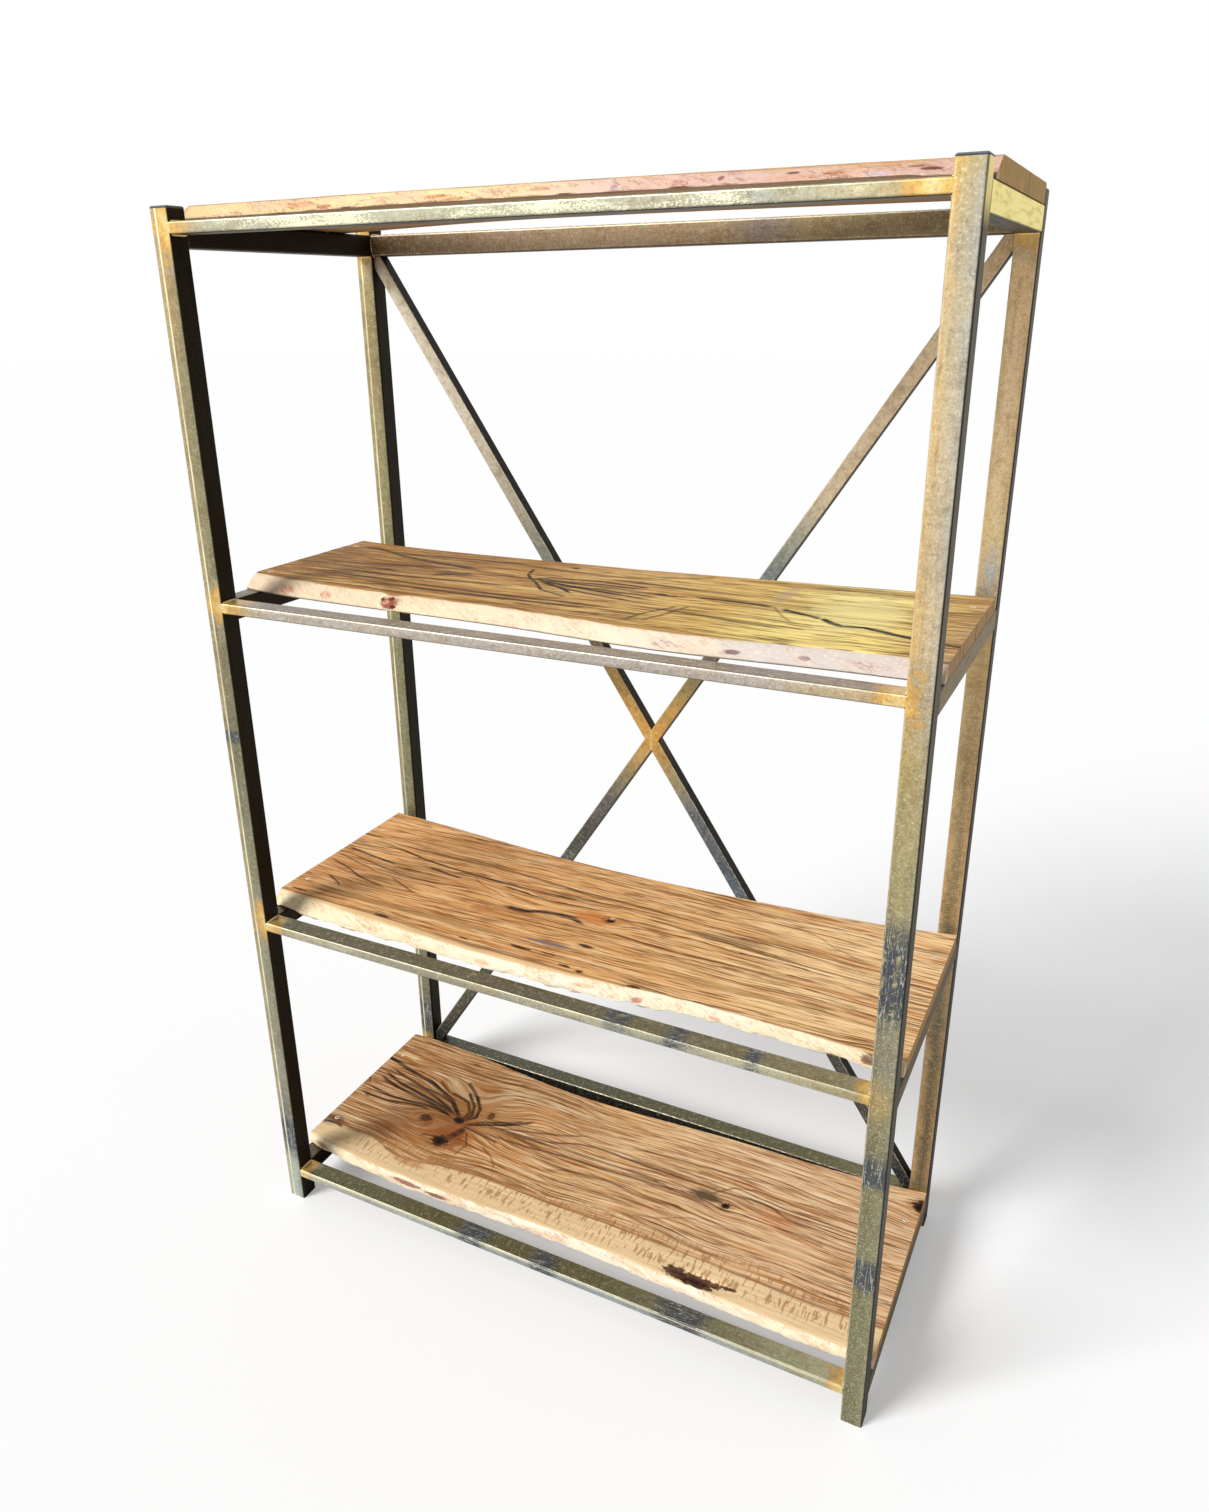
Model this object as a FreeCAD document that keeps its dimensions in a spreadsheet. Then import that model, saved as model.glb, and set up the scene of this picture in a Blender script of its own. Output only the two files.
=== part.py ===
import FreeCAD, Part
import math
import os
import Sketcher

doc = FreeCAD.newDocument("ShelvingUnit")

# Driving sizes in millimetres: the welded steel frame, the brace, the boards and the fixings.
sizes = {
    "overall_width": 1000,
    "overall_depth": 430,
    "post_height": 1550,
    "post_side": 30,
    "tube_wall": 2,
    "tube_corner": 3,
    "front_rail_height": 15,
    "front_rail_corner": 2.5,
    "level_one": 62,
    "level_two": 544,
    "level_three": 1051,
    "top_level_drop": 18,
    "brace_side": 20,
    "brace_wall": 1.5,
    "brace_corner": 2,
    "weld_width": 5,
    "weld_rise": 0.8,
    "shelf_thickness": 20,
    "top_thickness": 22,
    "cap_plate": 3,
    "cap_edge": 1.5,
    "cap_plug_depth": 12,
    "cap_plug_wall": 2,
    "cap_plug_clearance": 0.2,
    "foot_plate": 2.5,
    "screw_inset": 18,
    "screw_pitch": 200,
    "screw_head": 8,
    "screw_head_depth": 2.2,
    "screw_shank": 4,
    "screw_tail": 8,
    "screw_clearance": 0.2,
}
sheet = doc.addObject("Spreadsheet::Sheet", "Sizes")
for row, (alias, value) in enumerate(sizes.items(), start=1):
    sheet.set(f"A{row}", alias)
    sheet.set(f"B{row}", str(value))
    sheet.setAlias(f"B{row}", alias)
doc.recompute()

WIDTH = "Sizes.overall_width"
DEPTH = "Sizes.overall_depth"
SIDE = "Sizes.post_side"
BRACE_Y = f"{DEPTH} / 2 - {SIDE} / 2"
LEVELS = {
    "bottom": "Sizes.level_one",
    "lower": "Sizes.level_two",
    "upper": "Sizes.level_three",
    "top": "(Sizes.post_height - Sizes.top_level_drop)",
}
# Lengths and directions closer than this count as equal.
MATCH = 1e-6
sub_parts = []


def read_size(expression):
    # The present value of an expression over the sheet.
    return float(sheet.evalExpression(expression.replace("Sizes.", "")))


def new_body(label):
    body = doc.addObject("PartDesign::Body", label)
    body.Label = label
    sub_parts.append(body)
    return body


def place(body, x="0", y="0", z="0", axis=None):
    # A half turn about one axis of the body, then the move to its seat.
    if axis is not None:
        body.Placement.Rotation = FreeCAD.Rotation(axis, 180)
    for name, expression in (("x", x), ("y", y), ("z", z)):
        body.setExpression(f"Placement.Base.{name}", expression)


def new_sketch(body, name, role, offset=None):
    plane = next(item for item in body.Origin.OriginFeatures if item.Role == role)
    sketch = body.newObject("Sketcher::SketchObject", f"{body.Name}_{name}")
    sketch.AttachmentSupport = [(plane, "")]
    sketch.MapMode = "FlatFace"
    if offset is not None:
        sketch.setExpression("AttachmentOffset.Base.z", offset)
    return sketch


def dimension(sketch, constraint, expression):
    index = sketch.addConstraint(constraint)
    sketch.setExpression(f"Constraints[{index}]", expression)


def draw_loop(sketch, points):
    # Straight edges from point to point, joined end to end into one closed loop.
    corners = [FreeCAD.Vector(x, y, 0) for x, y in points]
    lines = []
    for start, end in zip(corners, corners[1:] + corners[:1]):
        lines.append(sketch.addGeometry(Part.LineSegment(start, end), False))
    for line, following in zip(lines, lines[1:] + lines[:1]):
        sketch.addConstraint(Sketcher.Constraint("Coincident", line, 2, following, 1))
    return lines


def draw_rectangle(sketch, breadth, height):
    # A rectangle centred on the sketch's origin.
    half_breadth = read_size(breadth) / 2
    half_height = read_size(height) / 2
    corner_signs = ((-1, -1), (1, -1), (1, 1), (-1, 1))
    lines = draw_loop(sketch, [(across * half_breadth, up * half_height) for across, up in corner_signs])
    for line in lines[0::2]:
        sketch.addConstraint(Sketcher.Constraint("Horizontal", line))
    for line in lines[1::2]:
        sketch.addConstraint(Sketcher.Constraint("Vertical", line))
    sketch.addConstraint(Sketcher.Constraint("Symmetric", lines[0], 1, lines[1], 2, -1, 1))
    dimension(sketch, Sketcher.Constraint("DistanceX", lines[0], 1, lines[0], 2, 1), breadth)
    dimension(sketch, Sketcher.Constraint("DistanceY", lines[1], 1, lines[1], 2, 1), height)


def draw_circle(sketch, x, y, diameter, sign_x=1, sign_y=1):
    # A circle in the quarter of the sketch that the two signs name.
    centre = FreeCAD.Vector(sign_x * read_size(x), sign_y * read_size(y), 0)
    ring = Part.Circle(centre, FreeCAD.Vector(0, 0, 1), read_size(diameter) / 2)
    circle = sketch.addGeometry(ring, False)
    dimension(sketch, Sketcher.Constraint("Diameter", circle, 1), diameter)
    dimension(sketch, Sketcher.Constraint("DistanceX", -1, 1, circle, 3, sign_x), f"{sign_x} * ({x})")
    dimension(sketch, Sketcher.Constraint("DistanceY", -1, 1, circle, 3, sign_y), f"{sign_y} * ({y})")


def add_pad(body, name, sketch, length, symmetric=False, downward=False):
    pad = body.newObject("PartDesign::Pad", f"{body.Name}_{name}")
    pad.Profile = sketch
    pad.Midplane = symmetric
    pad.Reversed = downward
    pad.setExpression("Length", length)
    doc.recompute()
    return pad


def add_pocket(body, name, sketch, length=None, symmetric=False, upward=False):
    before = body.Shape.Volume
    pocket = body.newObject("PartDesign::Pocket", f"{body.Name}_{name}")
    pocket.Profile = sketch
    pocket.Midplane = symmetric
    pocket.Reversed = upward
    if length is None:
        pocket.Type = "ThroughAll"
    else:
        pocket.setExpression("Length", length)
    doc.recompute()
    if not body.Shape.Volume < before:
        raise RuntimeError(f"{pocket.Name} cuts nothing")
    return pocket


def dress_edges(body, name, base, kind, size, amount, wanted):
    # A fillet or a chamfer on every edge of the base feature that is wanted.
    names = [f"Edge{index}" for index, edge in enumerate(base.Shape.Edges, start=1) if wanted(edge)]
    dressing = body.newObject(f"PartDesign::{kind}", f"{body.Name}_{name}")
    dressing.Base = (base, names)
    dressing.setExpression(size, amount)
    doc.recompute()
    return dressing


def round_edges(body, name, base, radius, wanted):
    return dress_edges(body, name, base, "Fillet", "Radius", radius, wanted)


def bevel_edges(body, name, base, width, wanted):
    return dress_edges(body, name, base, "Chamfer", "Size", width, wanted)


def runs_along(direction):
    def wanted(edge):
        return edge.tangentAt(edge.FirstParameter).cross(direction).Length < MATCH
    return wanted


def lies_at_height(height):
    def wanted(edge):
        return abs(edge.BoundBox.ZMin - height) < MATCH
    return wanted


# Box-section steel tube with rounded corners, drawn round its own centre along one axis.
AXIS_OF_PLANE = {
    "XY_Plane": FreeCAD.Vector(0, 0, 1),
    "YZ_Plane": FreeCAD.Vector(1, 0, 0),
    "XZ_Plane": FreeCAD.Vector(0, 1, 0),
}


def box_tube(label, role, length, breadth, height, corner):
    body = new_body(label)
    outer = new_sketch(body, "section", role)
    draw_rectangle(outer, breadth, height)
    pad = add_pad(body, "length", outer, length, symmetric=True)
    round_edges(body, "corners", pad, corner, runs_along(AXIS_OF_PLANE[role]))
    inner = new_sketch(body, "bore_section", role)
    draw_rectangle(inner, f"{breadth} - 2 * Sizes.tube_wall", f"{height} - 2 * Sizes.tube_wall")
    add_pocket(body, "bore", inner, symmetric=True)
    return body


# Four posts, each closed by a plate under its foot and a push-in cap on top.
POST_LENGTH = "(Sizes.post_height - Sizes.foot_plate - Sizes.cap_plate)"
POST_X = f"({WIDTH} - {SIDE}) / 2"
POST_Y = f"({DEPTH} - {SIDE}) / 2"
corners = {
    "front_left": (f"-({POST_X})", f"-({POST_Y})"),
    "front_right": (POST_X, f"-({POST_Y})"),
    "rear_left": (f"-({POST_X})", POST_Y),
    "rear_right": (POST_X, POST_Y),
}
upright = runs_along(AXIS_OF_PLANE["XY_Plane"])
for corner_name, (post_x, post_y) in corners.items():
    post = box_tube(f"post_{corner_name}", "XY_Plane", POST_LENGTH, SIDE, SIDE, "Sizes.tube_corner")
    place(post, post_x, post_y, f"Sizes.foot_plate + {POST_LENGTH} / 2")

    foot = new_body(f"foot_plate_{corner_name}")
    foot_outline = new_sketch(foot, "outline", "XY_Plane")
    draw_rectangle(foot_outline, SIDE, SIDE)
    foot_pad = add_pad(foot, "plate", foot_outline, "Sizes.foot_plate")
    round_edges(foot, "corners", foot_pad, "Sizes.tube_corner", upright)
    place(foot, post_x, post_y)

    cap = new_body(f"post_cap_{corner_name}")
    cap_outline = new_sketch(cap, "outline", "XY_Plane")
    draw_rectangle(cap_outline, SIDE, SIDE)
    cap_pad = add_pad(cap, "plate", cap_outline, "Sizes.cap_plate")
    cap_corners = round_edges(cap, "corners", cap_pad, "Sizes.tube_corner", upright)
    bevel_edges(cap, "rim", cap_corners, "Sizes.cap_edge", lies_at_height(sheet.cap_plate))
    plug_side = f"{SIDE} - 2 * Sizes.tube_wall - 2 * Sizes.cap_plug_clearance"
    plug_outline = new_sketch(cap, "plug_outline", "XY_Plane")
    draw_rectangle(plug_outline, plug_side, plug_side)
    add_pad(cap, "plug", plug_outline, "Sizes.cap_plug_depth", downward=True)
    hollow_outline = new_sketch(cap, "hollow_outline", "XY_Plane", "-Sizes.cap_plug_depth")
    hollow_side = f"{plug_side} - 2 * Sizes.cap_plug_wall"
    draw_rectangle(hollow_outline, hollow_side, hollow_side)
    add_pocket(cap, "hollow", hollow_outline, "Sizes.cap_plug_depth", upward=True)
    place(cap, post_x, post_y, "Sizes.post_height - Sizes.cap_plate")

# Front rails are shallow flat tubes between the front posts, one under each board's front edge.
RAIL_SPAN = f"{WIDTH} - 2 * {SIDE}"
for level_name, level in LEVELS.items():
    front_rail = box_tube(
        f"front_rail_{level_name}",
        "YZ_Plane",
        RAIL_SPAN,
        SIDE,
        "Sizes.front_rail_height",
        "Sizes.front_rail_corner",
    )
    place(front_rail, "0", f"-({POST_Y})", f"{level} - Sizes.front_rail_height / 2")

# Rear rails in the posts' own tube close the frame at the floor and under the top.
for level_name in ("bottom", "top"):
    rear_rail = box_tube(f"rear_rail_{level_name}", "YZ_Plane", RAIL_SPAN, SIDE, SIDE, "Sizes.tube_corner")
    place(rear_rail, "0", POST_Y, f"{LEVELS[level_name]} - {SIDE} / 2")

# Side rails carry the boards, and their top walls are drilled for the boards' screws.
SCREW_HOLE = "Sizes.screw_shank + 2 * Sizes.screw_clearance"
Z_AXIS = AXIS_OF_PLANE["XY_Plane"]
for side_name, side_x, turn in (("left", f"-({POST_X})", Z_AXIS), ("right", POST_X, None)):
    for level_name, level in LEVELS.items():
        side_rail = box_tube(
            f"side_rail_{side_name}_{level_name}",
            "XZ_Plane",
            f"{DEPTH} - 2 * {SIDE}",
            SIDE,
            SIDE,
            "Sizes.tube_corner",
        )
        drilling = new_sketch(side_rail, "drilling", "XY_Plane", f"{SIDE} / 2")
        for sign in (-1, 1):
            draw_circle(
                drilling,
                f"Sizes.screw_inset - {SIDE} / 2",
                "Sizes.screw_pitch / 2",
                SCREW_HOLE,
                sign_x=-1,
                sign_y=sign,
            )
        add_pocket(side_rail, "screw_holes", drilling, "Sizes.tube_wall")
        place(side_rail, side_x, "0", f"{level} - {SIDE} / 2", axis=turn)

# The cross brace is four tubes that run from the frame's inner corners to the middle, where
# each is cut to a point so that they meet flush on one upright and one level weld line.
BRACE_RUN = f"({WIDTH} / 2 - {SIDE})"
BRACE_LOW = "Sizes.level_one"
BRACE_HIGH = f"({LEVELS['top']} - {SIDE})"
BRACE_RISE = f"(({BRACE_HIGH} - {BRACE_LOW}) / 2)"
BRACE_LENGTH = f"sqrt({BRACE_RUN} * {BRACE_RUN} + {BRACE_RISE} * {BRACE_RISE})"
# Half of the tube's width as the upright and the level cuts measure it.
HALF_UPRIGHT = f"(Sizes.brace_side / 2 * {BRACE_LENGTH} / {BRACE_RUN})"
HALF_LEVEL = f"(Sizes.brace_side / 2 * {BRACE_LENGTH} / {BRACE_RISE})"
BORE_SHARE = "(1 - 2 * Sizes.brace_wall / Sizes.brace_side)"


def fix_corner(sketch, line, x, y):
    # Ties the start of a line to a place measured from the sketch's origin.
    dimension(sketch, Sketcher.Constraint("DistanceX", -1, 1, line, 1, 1), x)
    dimension(sketch, Sketcher.Constraint("DistanceY", -1, 1, line, 1, 1), y)


brace_turns = {
    "upper_right": None,
    "upper_left": Z_AXIS,
    "lower_right": AXIS_OF_PLANE["YZ_Plane"],
    "lower_left": AXIS_OF_PLANE["XZ_Plane"],
}
run = read_size(BRACE_RUN)
rise = read_size(BRACE_RISE)
along_brace = runs_along(FreeCAD.Vector(run, 0, rise).normalize())
for arm_name, turn in brace_turns.items():
    arm = new_body(f"brace_{arm_name}")
    elevation = new_sketch(arm, "elevation", "XZ_Plane")
    outline = [
        ("0", "0"),
        (HALF_LEVEL, "0"),
        (BRACE_RUN, f"{BRACE_RISE} - {HALF_UPRIGHT}"),
        (BRACE_RUN, BRACE_RISE),
        (f"{BRACE_RUN} - {HALF_LEVEL}", BRACE_RISE),
        ("0", HALF_UPRIGHT),
    ]
    arm_lines = draw_loop(elevation, [(read_size(x), read_size(y)) for x, y in outline])
    for line, (x, y) in zip(arm_lines, outline):
        fix_corner(elevation, line, x, y)
    arm_pad = add_pad(arm, "tube", elevation, "Sizes.brace_side", symmetric=True)
    round_edges(arm, "corners", arm_pad, "Sizes.brace_corner", along_brace)
    channel = new_sketch(arm, "channel", "XZ_Plane")
    bore = [
        ("0", f"-{HALF_UPRIGHT} * {BORE_SHARE}"),
        (BRACE_RUN, f"{BRACE_RISE} - {HALF_UPRIGHT} * {BORE_SHARE}"),
        (BRACE_RUN, f"{BRACE_RISE} + {HALF_UPRIGHT} * {BORE_SHARE}"),
        ("0", f"{HALF_UPRIGHT} * {BORE_SHARE}"),
    ]
    bore_lines = draw_loop(channel, [(read_size(x), read_size(y)) for x, y in bore])
    for line, (x, y) in zip(bore_lines, bore):
        fix_corner(channel, line, x, y)
    add_pocket(arm, "bore", channel, "Sizes.brace_side - 2 * Sizes.brace_wall", symmetric=True)
    place(arm, "0", BRACE_Y, f"({BRACE_LOW} + {BRACE_HIGH}) / 2", axis=turn)

# A low bead of weld runs up the middle of the crossing, front and back.
cross_weld = new_body("brace_cross_weld")
bead = new_sketch(cross_weld, "bead", "XY_Plane")
for face in (-1, 1):
    flat = read_size("Sizes.brace_side / 2")
    half = read_size("Sizes.weld_width / 2")
    crest = flat + read_size("Sizes.weld_rise")
    ends = [FreeCAD.Vector(sign * half, face * flat, 0) for sign in (-1, 1)]
    curve = Part.Arc(ends[0], FreeCAD.Vector(0, face * crest, 0), ends[1])
    arc = bead.addGeometry(curve, False)
    chord = bead.addGeometry(Part.LineSegment(ends[0], ends[1]), False)
    for end in ends:
        arc_end = 1 if bead.getPoint(arc, 1).distanceToPoint(end) < half else 2
        chord_end = 1 if end == ends[0] else 2
        bead.addConstraint(Sketcher.Constraint("Coincident", arc, arc_end, chord, chord_end))
    bead.addConstraint(Sketcher.Constraint("Block", arc))
add_pad(cross_weld, "run", bead, f"2 * {HALF_UPRIGHT} - Sizes.weld_width", symmetric=True)
place(cross_weld, "0", BRACE_Y, f"({BRACE_LOW} + {BRACE_HIGH}) / 2")

# Live-edge oak boards: the waney front and rear edges at evenly spaced stations from left to
# right, as shares of the clear depth between the posts, the front one on both faces.
board_edge_shares = {
    "bottom": {
        "front_under": (-0.416, -0.462, -0.460, -0.446, -0.455, -0.469, -0.464),
        "front_over": (-0.408, -0.454, -0.452, -0.438, -0.447, -0.461, -0.456),
        "rear": (0.451, 0.436, 0.389, 0.391, 0.418, 0.429, 0.470),
    },
    "lower": {
        "front_under": (-0.446, -0.478, -0.476, -0.484, -0.449, -0.432, -0.454),
        "front_over": (-0.386, -0.431, -0.461, -0.463, -0.418, -0.418, -0.445),
        "rear": (0.467, 0.431, 0.389, 0.371, 0.380, 0.404, 0.467),
    },
    "upper": {
        "front_under": (-0.365, -0.414, -0.422, -0.443, -0.478, -0.459, -0.454),
        "front_over": (-0.292, -0.353, -0.368, -0.391, -0.436, -0.407, -0.409),
        "rear": (0.386, 0.344, 0.344, 0.348, 0.375, 0.405, 0.445),
    },
    "top": {
        "front_under": (-0.465, -0.481, -0.489, -0.489, -0.484, -0.476, -0.465),
        "front_over": (-0.405, -0.419, -0.432, -0.432, -0.422, -0.400, -0.381),
        "rear": (0.400, 0.373, 0.351, 0.351, 0.384, 0.432, 0.489),
    },
}
SCREW_X = f"{WIDTH} / 2 - Sizes.screw_inset"
SCREW_Y = "Sizes.screw_pitch / 2"


def draw_board(sketch, front_shares, rear_shares):
    # One face of a board: sawn ends, and smooth curves through the stations of both edges.
    length = sheet.overall_width
    clear_depth = sheet.overall_depth - 2 * sheet.post_side
    curves = []
    for shares in (front_shares, rear_shares):
        last = len(shares) - 1
        points = []
        for station, share in enumerate(shares):
            points.append(FreeCAD.Vector(length * (station / last - 1 / 2), clear_depth * share, 0))
        curve = Part.BSplineCurve()
        curve.interpolate(points)
        curves.append((curve, points))
    (front, front_points), (rear, rear_points) = curves
    front_line = sketch.addGeometry(front, False)
    right_end = sketch.addGeometry(Part.LineSegment(front_points[-1], rear_points[-1]), False)
    rear_line = sketch.addGeometry(rear, False)
    left_end = sketch.addGeometry(Part.LineSegment(rear_points[0], front_points[0]), False)
    sketch.addConstraint(Sketcher.Constraint("Block", front_line))
    sketch.addConstraint(Sketcher.Constraint("Block", rear_line))
    sketch.addConstraint(Sketcher.Constraint("Coincident", front_line, 2, right_end, 1))
    sketch.addConstraint(Sketcher.Constraint("Coincident", right_end, 2, rear_line, 2))
    sketch.addConstraint(Sketcher.Constraint("Coincident", rear_line, 1, left_end, 1))
    sketch.addConstraint(Sketcher.Constraint("Coincident", left_end, 2, front_line, 1))


def draw_screw_circles(sketch, diameter):
    # The same circle at the four fixing points of a board.
    for sign_x in (-1, 1):
        for sign_y in (-1, 1):
            draw_circle(sketch, SCREW_X, SCREW_Y, diameter, sign_x=sign_x, sign_y=sign_y)


for level_name, level in LEVELS.items():
    thickness = "Sizes.top_thickness" if level_name == "top" else "Sizes.shelf_thickness"
    edge_shares = board_edge_shares[level_name]
    board = new_body(f"board_{level_name}")
    under = new_sketch(board, "under_face", "XY_Plane")
    draw_board(under, edge_shares["front_under"], edge_shares["rear"])
    over = new_sketch(board, "over_face", "XY_Plane", thickness)
    draw_board(over, edge_shares["front_over"], edge_shares["rear"])
    slab = board.newObject("PartDesign::AdditiveLoft", f"{board.Name}_slab")
    slab.Profile = under
    slab.Sections = [over]
    slab.Ruled = True
    doc.recompute()
    drilling = new_sketch(board, "drilling", "XY_Plane", thickness)
    draw_screw_circles(drilling, SCREW_HOLE)
    add_pocket(board, "screw_holes", drilling)
    sinking = new_sketch(board, "sinking", "XY_Plane", thickness)
    draw_screw_circles(sinking, "Sizes.screw_head + 2 * Sizes.screw_clearance")
    countersink = add_pocket(board, "countersinks", sinking, "Sizes.screw_head_depth")
    countersink.setExpression(
        "TaperAngle",
        "-atan((Sizes.screw_head - Sizes.screw_shank) / 2 / Sizes.screw_head_depth)",
    )
    place(board, z=level)

    screws = new_body(f"board_screws_{level_name}")
    heads = new_sketch(screws, "heads", "XY_Plane")
    draw_screw_circles(heads, "Sizes.screw_head")
    head_pad = add_pad(screws, "head", heads, "Sizes.screw_head_depth", downward=True)
    head_pad.setExpression(
        "TaperAngle",
        "-atan((Sizes.screw_head - Sizes.screw_shank) / 2 / Sizes.screw_head_depth)",
    )
    shanks = new_sketch(screws, "shanks", "XY_Plane")
    draw_screw_circles(shanks, "Sizes.screw_shank")
    add_pad(screws, "shank", shanks, f"{thickness} + Sizes.tube_wall + Sizes.screw_tail", downward=True)
    place(screws, z=f"{level} + {thickness}")

doc.recompute()
for item in doc.Objects:
    if "Invalid" in item.State or "Error" in item.State:
        raise RuntimeError(f"{item.Label} failed: {item.State}")
for body in sub_parts:
    if body.Shape.isNull() or not body.Shape.isValid():
        raise RuntimeError(f"{body.Label} has no valid shape")
os.makedirs("parts", exist_ok=True)
for body in sub_parts:
    body.Shape.exportStep(f"parts/{body.Label}.step")
print(len(sub_parts), "sub-parts written")
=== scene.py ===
import math

import bpy
import numpy as np
from mathutils import Matrix, Vector, noise


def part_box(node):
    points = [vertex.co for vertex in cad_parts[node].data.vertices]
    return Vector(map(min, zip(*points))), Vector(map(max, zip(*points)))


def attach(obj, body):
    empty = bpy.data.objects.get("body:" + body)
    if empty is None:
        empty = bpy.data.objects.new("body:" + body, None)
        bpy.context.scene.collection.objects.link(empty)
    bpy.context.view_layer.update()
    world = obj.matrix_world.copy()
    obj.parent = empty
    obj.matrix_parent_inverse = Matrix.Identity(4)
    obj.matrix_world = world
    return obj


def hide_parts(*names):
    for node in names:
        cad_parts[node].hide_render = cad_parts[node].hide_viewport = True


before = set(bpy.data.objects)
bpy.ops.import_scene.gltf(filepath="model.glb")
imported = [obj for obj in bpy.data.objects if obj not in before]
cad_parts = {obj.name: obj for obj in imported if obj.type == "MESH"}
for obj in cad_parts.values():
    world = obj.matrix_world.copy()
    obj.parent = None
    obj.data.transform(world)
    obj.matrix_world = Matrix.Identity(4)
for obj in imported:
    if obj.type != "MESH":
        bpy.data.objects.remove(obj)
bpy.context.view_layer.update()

# Posts: four uprights of 30 mm square mill-steel tube, each closed by a plate at its foot.
# The welds were ground flush and the whole frame clear-lacquered, so that the straw, gold and
# blue heat marks, the mill scale and the scuffs stay visible under the coat.


class Shade:
    """One value in a finish, with the sums that can be done on it."""

    def __init__(self, tree, socket):
        self.tree = tree
        self.socket = socket

    def node(self, kind, links=None, output=0, stops=None, points=None, **settings):
        made = self.tree.nodes.new("ShaderNode" + kind)
        for setting, value in settings.items():
            setattr(made, setting, value)
        if stops is not None:
            elements = made.color_ramp.elements
            while len(elements) < len(stops):
                elements.new(1.0)
            for element, (place, shade) in zip(elements, stops):
                element.position = place
                element.color = shade
        if points is not None:
            curve = made.mapping.curves[0]
            while len(curve.points) < len(points):
                curve.points.new(1.0, 1.0)
            for point, place in zip(curve.points, points):
                point.location = place
            made.mapping.update()
        for name, value in (links or {}).items():
            if isinstance(value, Shade):
                self.tree.links.new(value.socket, made.inputs[name])
            else:
                made.inputs[name].default_value = value
        return Shade(self.tree, made.outputs[output])

    def sum(self, operation, first, second=0.0):
        return self.node("Math", {0: first, 1: second}, operation=operation)

    def __add__(self, other):
        return self.sum("ADD", self, other)

    __radd__ = __add__

    def __sub__(self, other):
        return self.sum("SUBTRACT", self, other)

    def __rsub__(self, other):
        return self.sum("SUBTRACT", other, self)

    def __mul__(self, other):
        return self.sum("MULTIPLY", self, other)

    __rmul__ = __mul__

    def __truediv__(self, other):
        return self.sum("DIVIDE", self, other)

    def __rtruediv__(self, other):
        return self.sum("DIVIDE", other, self)

    def __abs__(self):
        return self.sum("ABSOLUTE", self)

    def least(self, other):
        return self.sum("MINIMUM", self, other)

    def most(self, other):
        return self.sum("MAXIMUM", self, other)

    def step(self, low, high):
        # 0 up to low and 1 from high on, with a soft change between them, either way round.
        return self.node("MapRange", {"Value": self, "From Min": low, "From Max": high},
                         interpolation_type="SMOOTHSTEP")

    def noise(self, scale, detail=2.0, roughness=0.5, shift=0.0):
        # A cloudy value about one half, stretched by a scale for each axis in marks per millimetre.
        place = self.node("VectorMath", {0: self, 1: scale, 2: (shift, shift, shift)},
                          operation="MULTIPLY_ADD")
        return self.node("TexNoise", {"Vector": place, "Scale": 1.0, "Detail": detail,
                                      "Roughness": roughness})

    def over(self, under, paint):
        # Paint laid over a colour where this value is 1. Either may be given by its code.
        under, paint = (colour(each) if isinstance(each, str) else each for each in (under, paint))
        return self.node("Mix", {0: self, 6: under, 7: paint}, output=2, data_type="RGBA")


def colour(code):
    # A colour written as on a paint card, turned into the light values that shaders use.
    parts = [int(code[place:place + 2], 16) / 255 for place in (1, 3, 5)]
    return tuple(p / 12.92 if p <= 0.04045 else ((p + 0.055) / 1.055) ** 2.4 for p in parts) + (1.0,)


class Finish:
    """A new material, with the place in millimetres and the facing of the surface that it is on."""

    def __init__(self, name):
        self.material = bpy.data.materials.new(name)
        self.material.use_nodes = True
        self.tree = self.material.node_tree
        self.surface = self.tree.nodes["Principled BSDF"]
        start = Shade(self.tree, None)
        texture = start.node("TexCoord", output="Object")
        self.place = texture.node("VectorMath", {0: texture, "Scale": 1000.0}, operation="SCALE")
        facing = start.node("TexCoord", output="Normal")
        self.x, self.y, self.z = self.split(self.place)
        self.nx, self.ny, self.nz = self.split(facing)

    def split(self, vector):
        first = vector.node("SeparateXYZ", {0: vector})
        outputs = first.socket.node.outputs
        return [Shade(self.tree, outputs[axis]) for axis in range(3)]

    def stripe(self, run, stops):
        # Colours that follow each other along a run in millimetres.
        first, last = stops[0][0], stops[-1][0]
        share = (run - first) / (last - first)
        cards = [((place - first) / (last - first), colour(code)) for place, code in stops]
        return share.node("ValToRGB", {0: share}, stops=cards)

    def set(self, **values):
        for name, value in values.items():
            socket = self.surface.inputs[name.replace("_", " ").title()]
            if isinstance(value, Shade):
                self.tree.links.new(value.socket, socket)
            else:
                socket.default_value = value

    def bump(self, height, strength, distance):
        made = height.node("Bump", {"Height": height, "Strength": strength, "Distance": distance})
        self.tree.links.new(made.socket, self.surface.inputs["Normal"])


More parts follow.
